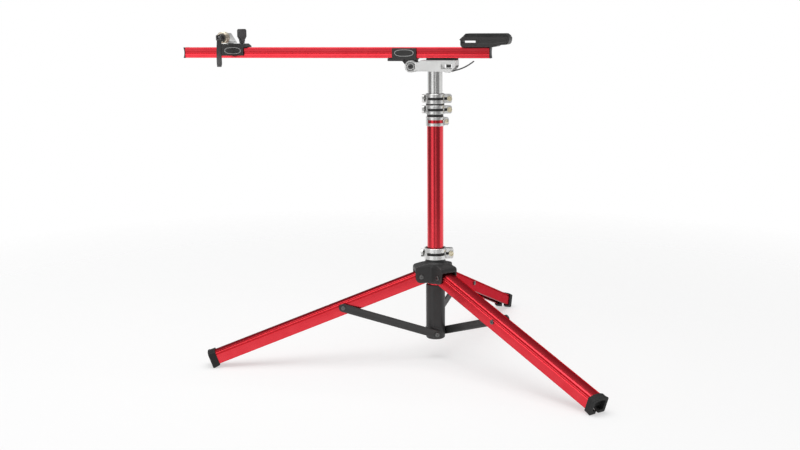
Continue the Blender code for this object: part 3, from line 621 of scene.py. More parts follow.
def foot_form():
    """The rubber foot: a sleeve with a ring at its end, a web across it and soles level with the floor."""
    skin = GAP + FOOT_SKIN
    hollow = leg_outline(WALL + FOOT_LINING, FOOT_MOUTH, LEG_BOTTOM + WALL + FOOT_LINING)
    outer = rounded_leg_outline(skin, FOOT_MOUTH, LEG_BOTTOM - FOOT_TOE, 0.004)
    made = slab(outer + hollow[::-1], FOOT_START, FOOT_END, "x")
    ring = rounded_leg_outline(skin + 0.0008, FOOT_MOUTH, LEG_BOTTOM - FOOT_TOE, 0.004)
    join(made, slab(ring + hollow[::-1], FOOT_END - 0.0045, FOOT_END, "x"))
    pocket = leg_outline(-GAP, LEG_LIP - GAP, LEG_BOTTOM - GAP)
    inside = leg_outline(WALL + GAP, LEG_LIP - GAP, LEG_BOTTOM + WALL + GAP)
    cut(made, slab(pocket + inside[::-1], FOOT_START - 0.01, LEG_END + GAP, "x"))
    web = leg_outline(WALL + FOOT_LINING / 2, FOOT_MOUTH, LEG_BOTTOM + WALL + FOOT_LINING / 2)
    join(made, slab(web, FOOT_WEB, FOOT_WEB + 0.002, "x"))
    toe = FOOT_END - 0.0038
    under = [(FOOT_START - 0.001, LEG_BOTTOM - FOOT_HEEL), (toe, LEG_BOTTOM - FOOT_TOE)]
    under += [(toe, LEG_BOTTOM - 0.02), (FOOT_START - 0.001, LEG_BOTTOM - 0.02)]
    cut(made, slab(under, -0.05, 0.05, "y"))
    floor = box(-0.05, 0.05, -0.05, 0.05, -0.03, 0)
    reach = YOKE_PIVOT_Z * sin(LEG_SLOPE) + FOOT_END * cos(LEG_SLOPE) ** 2
    drop = YOKE_PIVOT_Z * cos(LEG_SLOPE) - FOOT_END * cos(LEG_SLOPE) * sin(LEG_SLOPE)
    level = at(reach, 0, -drop) @ turned_by(-LEG_SLOPE, "Y")
    cut(made, moved(floor, level))
    return cast(made, 0.00055, 2)


def brace_form():
    """A flat bar with round ends, eased edges and a hole at each pivot."""
    ends = arc(0, 0, BRACE_HALF, 90, 270, 24) + arc(BRACE_LENGTH, 0, BRACE_HALF, -90, 90, 24)
    made = slab(ends, BRACE_INNER, BRACE_OUTER, "y")
    for along in (0, BRACE_LENGTH):
        cut(made, rod_y(BOLT_HOLE, along, 0, 0, 0.05))
    return eased(made, 0.0007, 3)


def leg_bolt_form():
    shank = rod_y(BOLT_RADIUS, 0, 0, -LEG_HALF - 0.0006, LEG_HALF)
    head = along_y(button_head(BOLT_HEAD, 0.0022, 0.0022), 0, -LEG_HALF - GAP, 0, -1)
    return moved(join(shank, head), at(BRACE_BOLT, 0, 0))


def brace_pin_form():
    spacer = rod_y(0.006, 0, 0, LEG_HALF + GAP, BRACE_INNER - GAP)
    head = along_y(button_head(0.005, 0.002, 0.002), 0, BRACE_OUTER + GAP, 0, 1)
    made = join(rod_y(BOLT_RADIUS, 0, 0, BRACE_INNER - 0.001, BRACE_OUTER + 0.001), spacer, head)
    return moved(made, at(BRACE_LENGTH, 0, 0))


def hub_screw_form():
    head = along_y(button_head(BOLT_HEAD, 0.0026, 0.0024), 0, BRACE_OUTER + GAP, 0, 1)
    return join(rod_y(BOLT_RADIUS, 0, 0, TUBE_RADIUS + 0.0005, BRACE_OUTER + 0.001), head)


def pivot_bolt_form():
    made = rod_y(BOLT_RADIUS, 0, 0, -YOKE_HALF - 0.001, YOKE_HALF + 0.001)
    return headed(made, 0, 0, YOKE_HALF + GAP, BOLT_HEAD, 0.0022, 0.0024)


def dress_legs():
    """The three legs with their feet, bolts and braces."""
    for number, azimuth in enumerate(LEG_AZIMUTHS, 1):
        turn = STAND @ turned_by(azimuth)
        pivot = turn @ at(YOKE_PIVOT_R, 0, YOKE_PIVOT_Z)
        leg = pivot @ turned_by(LEG_SLOPE, "Y")
        hub = turn @ at(0, 0, HUB_PIVOT_Z)
        brace = hub @ turned_by(-BRACE_ANGLE, "Y")
        place(leg_form(), f"leg_{number}", "red_x", leg)
        place(foot_form(), f"foot_{number}", "rubber", leg)
        place(leg_bolt_form(), f"leg_bolt_{number}", "bolt", leg)
        place(brace_form(), f"brace_{number}", "bar", brace)
        place(brace_pin_form(), f"brace_pin_{number}", "bolt", brace)
        place(hub_screw_form(), f"hub_screw_{number}", "bolt", hub)
        place(pivot_bolt_form(), f"leg_pivot_bolt_{number}", "bolt", pivot)


# ---------------- hub, yoke and tubes


def tube(bore, radius, low, high, edge=0.0005):
    """A tube about the Z axis with chamfered ends."""
    profile = [(bore + edge, low), (radius - edge, low), (radius, low + edge), (radius, high - edge)]
    profile += [(radius - edge, high), (bore + edge, high), (bore, high - edge), (bore, low + edge)]
    return turned(profile)


def hub_form():
    """The hub casting: a column with a flat and a rounded boss for each brace."""
    rim = arc(HUB_RADIUS - 0.004, HUB_BOTTOM + 0.004, 0.004, -90, 0, 8)
    bore = TUBE_RADIUS + GAP
    profile = [(0.006, HUB_BOTTOM)] + rim
    profile += [(HUB_RADIUS, HUB_TOP), (bore, HUB_TOP), (bore, TUBE_BOTTOM - GAP), (0.006, TUBE_BOTTOM - GAP)]
    made = turned(profile)
    for azimuth in LEG_AZIMUTHS:
        turn = turned_by(azimuth)
        cut(made, moved(box(-0.03, 0.03, HUB_FLAT, 0.04, HUB_BOTTOM + 0.0045, 0.3), turn))
        panel = [(-0.0095, 0.076), (-0.0095, 0.19), (0.009, 0.19), (0.009, 0.09)]
        panel += arc(0.001, 0.084, 0.008, 10, -80, 6)
        cut(made, moved(slab(panel, HUB_FLAT - 0.0008, 0.04, "y"), turn))
        cut(made, moved(rod_y(BOLT_HOLE, 0, HUB_PIVOT_Z, 0.01, 0.04), turn))
    return cast(made, 0.0006, 3)


def yoke_arm_form():
    """One hood of the yoke, with sloping shoulders, rounded cheeks and a sloping roof over the leg."""
    outline = [(YOKE_START, HOOD_BOTTOM), (0.038, HOOD_BOTTOM)]
    outline += arc(0.038, 0.197, 0.012, -80, 0, 8)
    outline += arc(YOKE_REACH - 0.009, HOOD_TOP - 0.013, 0.009, 0, 80, 8)
    outline += [(0.03, HOOD_TOP), (YOKE_START, HOOD_TOP + 0.003)]
    made = slab(outline, -YOKE_HALF, YOKE_HALF, "y")
    for side in (-1, 1):
        shoulder = [(side * 0.03, 0.211), (side * 0.03, 0.24), (side * 0.013, 0.24)]
        cut(made, slab(shoulder, -0.01, 0.07, "x"))
    room = LEG_HALF + 0.0006
    slope = (0.08, HOOD_ROOF - 0.041 * tan(LEG_SLOPE))
    inside = [(0, 0.15), (0.08, 0.15), slope, (0.039, HOOD_ROOF), (0, HOOD_ROOF)]
    return cut(made, slab(inside, -room, room, "y"))


def yoke_form():
    """The sliding yoke: a sleeve on the tube with three hoods blended into its neck."""
    profile = [
        (0.0175, YOKE_BOTTOM),
        (YOKE_SLEEVE, YOKE_BOTTOM),
        (YOKE_SLEEVE, HOOD_ROOF + 0.003),
        (YOKE_FLARE, HOOD_ROOF + 0.0065),
        (YOKE_FLARE, HOOD_TOP + 0.0007),
        (YOKE_NECK, HOOD_TOP + 0.0055),
        (YOKE_NECK, YOKE_NECK_TOP),
        (YOKE_SLEEVE, YOKE_NECK_TOP),
        (YOKE_SLEEVE, YOKE_SLEEVE_TOP),
        (0.0175, YOKE_SLEEVE_TOP),
    ]
    made = turned(profile)
    for azimuth in LEG_AZIMUTHS:
        join(made, moved(yoke_arm_form(), turned_by(azimuth)))
    cut(made, rod_z(TUBE_RADIUS + GAP, 0, 0, 0.1, 0.3, ROUND))
    cast(made, 0.0009, 5, 0.6)
    for azimuth in LEG_AZIMUTHS:
        hole = rod_y(BOLT_HOLE, YOKE_PIVOT_R, YOKE_PIVOT_Z, -0.03, 0.03)
        cut(made, moved(hole, turned_by(azimuth)))
    return made


def ring_form(bore, radius, low, high, slot, ear_end, ear_thick, bolt_x):
    """A split clamp ring with fluted ears, a slot along its front and eased edges."""
    middle = (low + high) / 2
    edge = 0.0008
    profile = [(bore, low), (radius - edge, low), (radius, low + edge), (radius, high - edge)]
    profile += [(radius - edge, high), (bore, high)]
    made = turned(profile)
    reach = EAR_SLIT + ear_thick
    rounded = (high - low) / 2 - 0.0012
    corner = 0.0045
    start = (bore + radius) / 2
    ears = [(start, middle - rounded)] + arc(ear_end - corner, middle - rounded + corner, corner, -90, 0, 8)
    ears += arc(ear_end - corner, middle + rounded - corner, corner, 0, 90, 8) + [(start, middle + rounded)]
    join(made, slab(ears, -reach, reach, "y"))
    cut(made, rod_z(bore, 0, 0, low - 0.01, high + 0.01, ROUND))
    cut(made, box(bore * 0.5, ear_end + 0.01, -EAR_SLIT, EAR_SLIT, low - 0.01, high + 0.01))
    cut(made, rod_y(BOLT_HOLE, bolt_x, middle, -0.03, 0.03))
    cut(made, ring_sector(bore - 0.002, radius + 0.002, -142, -22, middle - slot / 2, middle + slot / 2))
    # The pocket cut into the front ear holds the dark block of painted shade that dress_clamp adds.
    if ear_end - radius > 0.012:
        near = radius + 0.0012
        cut(made, box(near - 0.003, near + 0.0046, -reach - 0.01, 0, middle - 0.0031, middle + 0.0031))
    for across in (-1, 1):
        for step in range(3):
            y = across * (EAR_SLIT + ear_thick * (step + 0.5) / 3)
            cut(made, rod_z(0.0006, ear_end + 0.0001, y, low, high, 8))
    return made


def eye_bolt_form(bolt_x, middle, nut_y, eye_y, nut_radius):
    """A bolt through a clamp's ears: a fluted brass nut in front and an eye at the back."""
    made = rod_y(BOLT_RADIUS - GAP, bolt_x, middle, -nut_y - 0.003, eye_y)
    nut = fluted(nut_radius, 0.0005, 0, 0.005, 18)
    cut(nut, turned([(0.0028, 0.0028), (0.0038, 0.0028), (0.0043, 0.006), (0.0028, 0.006)], SMALL))
    eye = rod_z(EYE_RADIUS, bolt_x, eye_y, middle - 0.0032, middle + 0.0032)
    hole = rod_z(0.0022, bolt_x, eye_y, middle - 0.01, middle + 0.01)
    return cut(join(made, along_y(nut, bolt_x, -nut_y, middle, -1), eye), hole)


def ring_lever_form(radius, pin_x, pin_y, middle, height):
    """A cam lever that wraps round the back of a clamp ring and widens into a rounded thumb pad."""
    line = radius + 0.0032
    pin_radius = sqrt(pin_x**2 + pin_y**2)
    pin_angle = atan2(pin_y, pin_x) * 180 / pi
    stations = []
    steps = 60
    for step in range(steps + 1):
        t = step / steps
        angle = pin_angle + (187 - pin_angle) * t
        inwards = max(0.0, 1 - (angle - pin_angle) / 38) ** 2
        outwards = max(0.0, (angle - 150) / 37) ** 2
        distance = line + (pin_radius - line) * inwards + 0.003 * outwards
        centre = (distance * cos(radians(angle)), distance * sin(radians(angle)), middle)
        pad = min(1.0, max(0.0, (t - 0.8) / 0.12))
        tip = max(0.0, (t - 0.92) / 0.08)
        taper = sqrt(1.02 - tip**2 * 0.75)
        half_height = height / 2 * (0.6 + 0.18 * min(1, t / 0.5) + 0.34 * pad) * taper
        stations.append((centre, (0.0019 + 0.0016 * pad) * taper, half_height))
    made = ribbon(stations, (0, 0, 1))
    join(made, rod_z(0.0062, pin_x, pin_y, middle - 0.0062, middle + 0.0062))
    slit = (middle - 0.0036, middle + 0.0036)
    cut(made, rod_z(EYE_RADIUS + 0.0006, pin_x, pin_y, *slit))
    cut(made, box(pin_x - 0.0033, pin_x + 0.012, pin_y - 0.012, pin_y + 0.0055, *slit))
    return join(made, rod_z(0.0019, pin_x, pin_y, middle - 0.006, middle + 0.006))


def dress_clamp(prefix, bore, radius, low, high, slot, height):
    """A quick-release clamp's ring, eye bolt and lever, with a dark block of painted shade in the ear's
    pocket and slit.
    """
    middle = (low + high) / 2
    pin_x = radius + 0.0107
    pin_y = 0.014
    turn = turned_by(EAR_AZIMUTH)
    ring = ring_form(bore, radius, low, high, slot, radius + 0.016, 0.0062, pin_x)
    place(moved(ring, turn), f"{prefix}_clamp", "silver")
    # A dark rubber block in the front ear's pocket and across the slit is painted shade: it stands in for the
    # shadow inside the clamp's slit.
    painted_slit_shade = box(radius - 0.0014, radius + 0.0054, -0.0045, 0.0011, middle - 0.0029, middle + 0.0029)
    extra(moved(eased(painted_slit_shade, 0.0004), turn), f"{prefix}_clamp_liner", "rubber", f"{prefix}_clamp")
    bolt = eye_bolt_form(pin_x, middle, EAR_SLIT + 0.0062 + GAP, pin_y, 0.006)
    place(moved(bolt, turn), f"{prefix}_clamp_bolt", "brass")
    lever = ring_lever_form(radius, pin_x, pin_y, middle, height)
    place(moved(lever, turn), f"{prefix}_lever", "silver")


def dress_tube_collar():
    """The bolted collar at the red tube's top."""
    turn = turned_by(EAR_AZIMUTH)
    low = 0.552
    middle = (low + TUBE_TOP) / 2
    bolt_x = 0.0262
    ring = ring_form(TUBE_RADIUS + GAP, 0.0215, low, TUBE_TOP, 0.0076, 0.0315, 0.0045, bolt_x)
    place(moved(ring, turn), "tube_collar", "silver")
    bolt = rod_y(BOLT_RADIUS - GAP, bolt_x, middle, -0.008, 0.0095)
    head = along_y(button_head(0.0046, 0.0042, 0.0022), bolt_x, -0.006, middle, -1)
    place(moved(join(bolt, head), turn), "tube_collar_bolt", "brass")


def dress_tubes():
    """The hub, the tubes and the sleeves between them."""
    place(tube(TUBE_BORE, TUBE_RADIUS, TUBE_BOTTOM, TUBE_TOP), "lower_tube", "red_z")
    place(hub_form(), "hub_column", "casting")
    place(yoke_form(), "yoke", "casting")
    place(tube(MAST_BORE, MAST_RADIUS, MAST_BOTTOM, MAST_TOP), "mast_tube", "silver_z")
    sleeve_bore = MAST_RADIUS + GAP
    place(tube(sleeve_bore, 0.019, 0.5728, 0.5788), "tube_bushing", "nylon")
    place(tube(sleeve_bore, 0.0191, 0.5793, 0.6262, 0.0003), "swivel_sleeve", "nylon")
    place(tube(0.0194, 0.0212, 0.5999, 0.6027), "swivel_washer", "nylon")
    plug = [(0.004, 0.095), (0.0168, 0.095), (0.0168, 0.0997), (0.015, 0.0997)]
    place(turned(plug + [(0.015, 0.112), (0.004, 0.112)]), "mast_plug", "nylon")


# ---------------- mast head


def head_form():
    """The casting on the mast's top: hinge cheeks, a rest for the beam and the lock's window."""
    outline = [(-0.05, 0.6768), (0.024, 0.6762), (0.029, 0.6742)]
    outline += arc(0.037, 0.6802, 0.0065, -110, -50, 6)
    outline += [(0.05, 0.684), (0.052, 0.69), (0.052, 0.702), (-0.03, 0.702)]
    outline += [(-0.0345, 0.6975), (-0.05, 0.699)]
    made = slab(outline, -HEAD_HALF, HEAD_HALF, "y")
    join(made, rod_y(HEAD_DISC, HINGE_X, HINGE_Z, -HEAD_HALF, HEAD_HALF, ROUND))
    room = EAR_HALF + 0.0005
    cut(made, box(-0.09, -0.034, -room, room, 0.66, 0.72))
    cut(made, box(0.0185, 0.044, -0.03, 0.03, 0.6836, 0.693))
    cut(made, box(0.029, 0.06, -0.0064, 0.0064, 0.66, 0.6845))
    for side in (-1, 1):
        cut(made, along_y(tube(0.0088, 0.01, 0, 0.01), HINGE_X, side * (HEAD_HALF - 0.0005), HINGE_Z, side))
    cast(made, 0.0005, 4)
    cut(made, rod_z(MAST_RADIUS + GAP, 0, 0, 0.65, MAST_TOP + GAP, ROUND))
    cut(made, rod_y(0.0043, HINGE_X, HINGE_Z, -0.03, 0.03))
    cut(made, rod_z(0.0027, 0.032, 0, 0.68, 0.701))
    return cut(made, rod_y(0.0021, LOCK_X, LOCK_Z, -0.012, 0.012))


def hinge_bolt_form():
    made = rod_y(0.004, HINGE_X, HINGE_Z, -HEAD_HALF - 0.001, HEAD_HALF + 0.001)
    return headed(made, HINGE_X, HINGE_Z, HEAD_HALF + GAP, 0.0062, 0.0024, 0.0028)


def lock_nut_form():
    made = fluted(0.0056, 0.0005, 0.6852, 0.6924, 20)
    join(made, rod_z(0.0024, 0, 0, 0.69, 0.7005))
    return moved(made, at(0.032, 0, 0))


def lock_lever_form():
    """The thin curved lever under the head, with its cam and pin."""
    start = (LOCK_X + 0.002, LOCK_Z - 0.0025)
    end = (0.0905, 0.6996)
    stations = []
    steps = 30
    for step in range(steps + 1):
        t = step / steps
        rise = 0.25 * t + 0.75 * t**2.2
        centre = (start[0] + (end[0] - start[0]) * t, 0, start[1] + (end[1] - start[1]) * rise)
        stations.append((centre, 0.0017 - 0.0005 * t, 0.006 - 0.0012 * max(0, (t - 0.8) / 0.2)))
    made = ribbon(stations, (0, 1, 0))
    join(made, rod_y(0.0036, LOCK_X, LOCK_Z, -0.006, 0.006))
    return join(made, rod_y(0.0018, LOCK_X, LOCK_Z, -0.011, 0.011))


def dress_head():
    place(head_form(), "head_bracket", "blasted")
    pad = box(-0.018, 0.052, -0.012, 0.012, 0.702 + GAP, BEAM_BOTTOM - GAP)
    for step in range(11):
        x = -0.014 + 0.0062 * step
        cut(pad, box(x, x + 0.0012, -0.02, 0.02, BEAM_BOTTOM - GAP - 0.0005, 0.71))
    place(eased(pad, 0.0004), "beam_rest_pad", "rubber")
    place(hinge_bolt_form(), "hinge_bolt", "steel")
    place(lock_nut_form(), "lock_nut", "steel")
    place(lock_lever_form(), "lock_lever", "steel")


# ---------------- beam


def beam_profile():
    """The beam's outer section (y, z), with a groove along each side and rounded corners."""
    low = BEAM_BOTTOM
    high = BEAM_TOP
    middle = (low + high) / 2
    corner = 0.0026
    right = arc(BEAM_HALF - 0.0004 - corner, low + corner, corner, -90, 0, 8)
    right.append((BEAM_HALF - 0.0004, middle - 0.0064))
    right += [(BEAM_HALF, middle - 0.0028), (BEAM_HALF - 0.0011, middle - 0.0019)]
    right += [(BEAM_HALF - 0.0011, middle + 0.0019), (BEAM_HALF, middle + 0.0028)]
    right += arc(BEAM_HALF - corner, high - corner, corner, 0, 90, 8)
    right += [(0.0062, high), (0.0054, high - 0.0006), (0.0046, high)]
    return right + [(-y, z) for y, z in reversed(right)]


def beam_form():
    made = slab(beam_profile(), BEAM_LEFT, BEAM_RIGHT, "x")
    cut(made, slab(beam_outline(WALL), BEAM_LEFT - 0.01, BEAM_RIGHT + 0.01, "x"))
    return cut(made, rod_z(BOLT_HOLE, CRADLE_AXIS_X, 0, 0.72, 0.74))


def beam_cap_form(end, tip, scoop):
    """An end cap with a scooped face, rounded edges and a plug inside the beam."""
    side = 1 if tip > end else -1
    face = end + side * GAP
    middle = (BEAM_BOTTOM + BEAM_TOP) / 2
    half = (BEAM_TOP - BEAM_BOTTOM) / 2 + 0.0002
    outline = [(face, middle + half), (face, middle - half)]
    steps = 20
    for step in range(steps + 1):
        across = -1 + 2 * step / steps
        outline.append((tip - side * scoop * (1 - across**2), middle + half * across))
    made = eased(slab(outline, -BEAM_HALF, BEAM_HALF, "y"), 0.0005)
    inner = [(y * 0.97, middle + (z - middle) * 0.97) for y, z in beam_outline(WALL)]
    ends = sorted((face - side * 0.012, face + side * 0.001))
    return join(made, slab(inner, *ends, "x"))


def oval(centre_x, centre_z, half_x, half_z, steps=40):
    """An oval outline with flattened sides."""
    points = []
    for step in range(steps):
        angle = 2 * pi * step / steps
        x = abs(cos(angle)) ** 0.75 * (1 if cos(angle) > 0 else -1)
        z = abs(sin(angle)) ** 0.9 * (1 if sin(angle) > 0 else -1)
        points.append((centre_x + half_x * x, centre_z + half_z * z))
    return points


def sunk_oval(made, centre_x, centre_z, half_x, half_z):
    """Sinks an oval channel round a plain middle into both side plates."""
    for side in (-1, 1):
        rim = oval(centre_x, centre_z, half_x, half_z)
        sunk = side_slab(rim, side, COLLAR_HALF - 0.001, COLLAR_HALF + 0.01)
        inner = slab(oval(centre_x, centre_z, half_x * 0.86, half_z * 0.72), -0.05, 0.05, "y")
        cut(made, cut(sunk, inner))
    return made


def label(node, centre_x, centre_z, half_x, half_z):
    """A plain oval ring in the sunk channel of both side plates."""
    made = None
    for side in (-1, 1):
        rim = oval(centre_x, centre_z, half_x * 0.97, half_z * 0.96)
        ring = side_slab(rim, side, COLLAR_HALF - 0.0012, COLLAR_HALF - 0.0001)
        cut(ring, slab(oval(centre_x, centre_z, half_x * 0.9, half_z * 0.8), -0.05, 0.05, "y"))
        made = ring if made is None else join(made, ring)
    extra(made, f"{node}_label", "label", node)


def collar_form():
    """The black channel under the beam with the hinge ear below it."""
    side_low = HINGE_Z + 0.0155
    made = box(-0.098, -0.041, -COLLAR_HALF, COLLAR_HALF, side_low, 0.73)
    join(made, box(-0.109, -0.0705, -0.014, 0.014, 0.7, BEAM_BOTTOM - GAP))
    ear = [(-0.076, side_low + 0.001), (-0.076, 0.7)]
    ear += arc(HINGE_X, HINGE_Z, 0.0108, 200, 350, 20) + [(-0.0415, 0.7), (-0.0415, side_low + 0.001)]
    join(made, slab(ear, -EAR_HALF, EAR_HALF, "y"))
    inner = BEAM_HALF + GAP
    cut(made, box(-0.12, 0, -inner, inner, BEAM_BOTTOM - GAP, 0.75))
    sunk_oval(made, -0.0695, 0.7185, 0.0235, 0.0082)
    cast(made, 0.0005, 3)
    return cut(made, rod_y(0.0043, HINGE_X, HINGE_Z, -0.03, 0.03))


def cradle_form():
    """The bottom bracket cradle, with a strap slot and a sunk panel in each side."""
    outline = [(0.0668, 0.7315), (0.1363, 0.7315), (0.146, 0.733), (0.149, 0.7358), (0.169, 0.7372)]
    outline += [(0.1722, 0.74), (0.1745, 0.747), (0.1745, 0.752), (0.1727, 0.7555), (0.0688, 0.7555)]
    outline += [(0.0634, 0.7506), (0.061, 0.7486), (0.0634, 0.7465), (0.0634, 0.7366)]
    made = slab(outline, -CRADLE_HALF, CRADLE_HALF, "y")
    cut(made, box(0.0655, 0.0985, -0.05, 0.05, 0.7408, 0.7462))
    panel = [(0.104, 0.739), (0.144, 0.739), (0.15, 0.7415), (0.168, 0.7425), (0.169, 0.75)]
    panel += [(0.104, 0.75)]
    for side in (-1, 1):
        cut(made, side_slab(panel, side, CRADLE_HALF - 0.0009, CRADLE_HALF + 0.01))
    cut(made, rod_z(BOLT_HOLE, CRADLE_AXIS_X, 0, 0.72, 0.75))
    return cast(made, 0.0006, 3)


def cradle_pad_form():
    """The rubber pad on the cradle, with sloping ends and cross grooves."""
    low = 0.7555 + GAP
    outline = [(0.0692, low), (0.1724, low), (0.1715, 0.7575), (0.1655, 0.762), (0.0758, 0.762)]
    made = slab(outline, -CRADLE_HALF, CRADLE_HALF, "y")
    for step in range(8):
        x = 0.082 + 0.0105 * step
        groove = [(x, 0.7612), (x + 0.0008, 0.7604), (x + 0.0016, 0.7612), (x + 0.0016, 0.77), (x, 0.77)]
        cut(made, slab(groove, -0.05, 0.05, "y"))
    return eased(made, 0.0012, 3)


def dress_beam():
    """The beam and what is fixed to it."""
    place(beam_form(), "beam", "red_x")
    place(beam_cap_form(BEAM_LEFT, CAP_LEFT, 0.0024), "beam_cap_front", "nylon")
    place(beam_cap_form(BEAM_RIGHT, CAP_RIGHT, 0.0012), "beam_cap_rear", "nylon")
    place(collar_form(), "hinge_collar", "nylon")
    label("hinge_collar", -0.0695, 0.7185, 0.0235, 0.0082)
    bolt = rod_z(BOLT_RADIUS, CRADLE_AXIS_X, 0, 0.727, 0.7495)
    head = rod_z(0.006, CRADLE_AXIS_X, 0, 0.725, BEAM_TOP - WALL - GAP)
    place(join(bolt, head), "cradle_bolt", "steel")
    place(cradle_form(), "bb_cradle", "nylon")
    place(cradle_pad_form(), "bb_pad", "rubber")


# ---------------- fork carriage


def carriage_form():
    """The saddle that slides on the beam and carries the fork axle's block and the knob."""
    low = BEAM_TOP + GAP
    plate = [(-0.53, low), (-0.455, low), (-0.455, 0.7345), (-0.462, 0.74), (-0.524, 0.74)]
    plate += [(-0.53, 0.737)]
    made = slab(plate, -COLLAR_HALF, COLLAR_HALF, "y")
    for side in (-1, 1):
        ends = sorted((side * (BEAM_HALF + GAP), side * COLLAR_HALF))
        join(made, box(-0.53, -0.464, *ends, 0.712, low + 0.003))
    sunk_oval(made, -0.491, 0.7238, 0.0215, 0.0082)
    cast(made, 0.0005, 3)
    cut(made, box(-0.54, -0.44, -BEAM_HALF - GAP, BEAM_HALF + GAP, 0.7, low))
    return cut(made, rod_z(BOLT_HOLE, KNOB_X, 0, 0.72, 0.76))


def spacer_form(radius, near, far, groove):
    """A turned spacer on the fork axle, with chamfers and, unless groove is 0, a groove near each end."""
    sign = 1 if far > near else -1
    edge = 0.0012 * sign
    bore = AXLE_ROD + GAP
    profile = [(bore, near), (radius - 0.0004, near), (radius, near + 0.0004 * sign)]
    if groove:
        for middle in (near + 0.006 * sign, far - 0.006 * sign):
            profile += [(radius, middle - 0.0008 * sign), (radius - groove, middle - 0.0003 * sign)]
            profile += [(radius - groove, middle + 0.0003 * sign), (radius, middle + 0.0008 * sign)]
    profile += [(radius, far - edge), (radius - 0.0012, far), (bore, far)]
    made = turned(profile)
    return along_y(made, AXLE_X, 0, AXLE_Z, 1)


def axle_block_form():
    """The block that holds the axle's far end, with a sloping back and a groove along each side."""
    low = 0.74 + GAP
    high = AXLE_Z + 0.01
    outline = [(-0.0265, low), (0.0285, low), (0.0285, 0.7425), (-0.005, high), (-0.0265, high)]
    made = slab(outline, AXLE_X - 0.0075, AXLE_X + 0.0075, "x")
    for side in (-1, 1):
        cut(made, rod_y(0.001, AXLE_X + side * 0.0078, 0.7452, -0.03, 0.03, 12))
    made = eased(made, 0.0007, 3)
    return cut(made, rod_y(AXLE_ROD + GAP, AXLE_X, AXLE_Z, -0.04, GAP))


def pin_rod(radius, half):
    """A round rod along X on the axle lever's pin."""
    return rod(radius, (AXLE_X - half, LEVER_PIN_Y, AXLE_Z), (AXLE_X + half, LEVER_PIN_Y, AXLE_Z))


def axle_rod_form():
    """The fork axle with an eye for its lever."""
    made = rod_y(AXLE_ROD, AXLE_X, AXLE_Z, -AXLE_REACH, 0)
    tongue = (LEVER_PIN_Y, -AXLE_REACH + 0.001, AXLE_Z - 0.003, AXLE_Z + 0.003)
    join(made, box(AXLE_X - 0.0025, AXLE_X + 0.0025, *tongue), pin_rod(0.0036, 0.0025))
    return cut(made, pin_rod(0.0019, 0.01))


def axle_lever_form():
    """The black lever on the axle's near end, hanging from its cam."""
    stations = []
    steps = 24
    for step in range(steps + 1):
        t = step / steps
        bow = -0.0028 * sin(pi * min(1, t * 1.1)) - 0.001 * (1 - t) + 0.0015 * t**3
        centre = (AXLE_X - 0.003 * t**2, LEVER_PIN_Y + bow, AXLE_Z - 0.001 - 0.0668 * t)
        stations.append((centre, 0.0027 - 0.0008 * t, 0.0052 + 0.0013 * t - 0.0016 * max(0, (t - 0.9) / 0.1)))
    made = ribbon(stations, (1, 0, 0))
    head = []
    for turn, y_side, z_side in ((0, 1, 1), (90, -1, 1), (180, -1, -1), (270, 1, -1)):
        head += arc(LEVER_PIN_Y + y_side * 0.0028, AXLE_Z + z_side * 0.0034, 0.003, turn, turn + 90, 5)
    join(made, slab(head, AXLE_X - 0.0064, AXLE_X + 0.0064, "x"))
    slit = (LEVER_PIN_Y - 0.02, LEVER_PIN_Y + 0.02, AXLE_Z - 0.0036, AXLE_Z + 0.02)
    cut(made, pin_rod(0.0042, 0.003), box(AXLE_X - 0.003, AXLE_X + 0.003, *slit))
    return eased(join(made, pin_rod(0.0016, 0.0066)), 0.0004)


def knob_form():
    """The paddle knob with finger grooves, its post and its stud."""
    outline = [(-0.0052, 0.745), (0.0052, 0.745), (0.0052, 0.7495), (0.0098, 0.7565)]
    outline += arc(0.0058, 0.7705, 0.004, 0, 90, 6) + arc(-0.0058, 0.7705, 0.004, 90, 180, 6)
    outline += [(-0.0098, 0.7565), (-0.0052, 0.7495)]
    made = slab(outline, -0.0056, 0.0056, "y")
    join(made, rod_z(0.0062, 0, 0, 0.7407, 0.749))
    for side in (-1, 1):
        for step in range(3):
            x = -0.005 + 0.005 * step
            cut(made, rod_z(0.0009, x, side * 0.0061, 0.759, 0.771, 12))
    join(made, rod_z(BOLT_RADIUS, 0, 0, BEAM_TOP + 2 * GAP, 0.743))
    return cast(moved(made, at(KNOB_X, 0, 0) @ turned_by(KNOB_TURN)), 0.00045, 3)


def dress_carriage():
    """The fork carriage with its axle, spacers, lever and knob."""
    place(carriage_form(), "fork_carriage", "nylon")
    label("fork_carriage", -0.491, 0.7238, 0.0215, 0.0082)
    place(spacer_form(0.0134, -0.027, -0.045, 0.0004), "axle_barrel", "champagne")
    place(axle_block_form(), "axle_block", "silver")
    place(axle_rod_form(), "axle_rod", "steel")
    place(spacer_form(0.0088, -0.0453, -0.051, 0), "axle_cup", "nylon")
    place(axle_lever_form(), "axle_lever", "steel")
    place(knob_form(), "carriage_knob", "knob")


# ---------------- stage


def make_floor():
    """A plain pale floor disc that fades out at its edge."""
    bm = bmesh.new()
    bmesh.ops.create_circle(bm, cap_ends=True, segments=96, radius=2.2)
    floor = shape(bm)
    floor.name = "floor"
    floor.location = (0, 0, -0.0006)
    made, tree, shader = new_material("pale floor")
    where = add(tree, "ShaderNodeTexCoord").outputs["Object"]
    reach = add(tree, "ShaderNodeVectorMath", {0: where}, operation="LENGTH").outputs["Value"]
    inputs = {
        "Roughness": 0.85,
        "Specular IOR Level": 0.1,
        "Base Color": (0.46, 0.46, 0.46, 1),
        "Emission Color": (1, 1, 1, 1),
        "Emission Strength": 0.56,
        "Alpha": ranged(tree, reach, 1.0, 0.0, 0.7, 2.1),
    }
    feed(tree, shader, inputs)
    floor.data.materials.append(made)


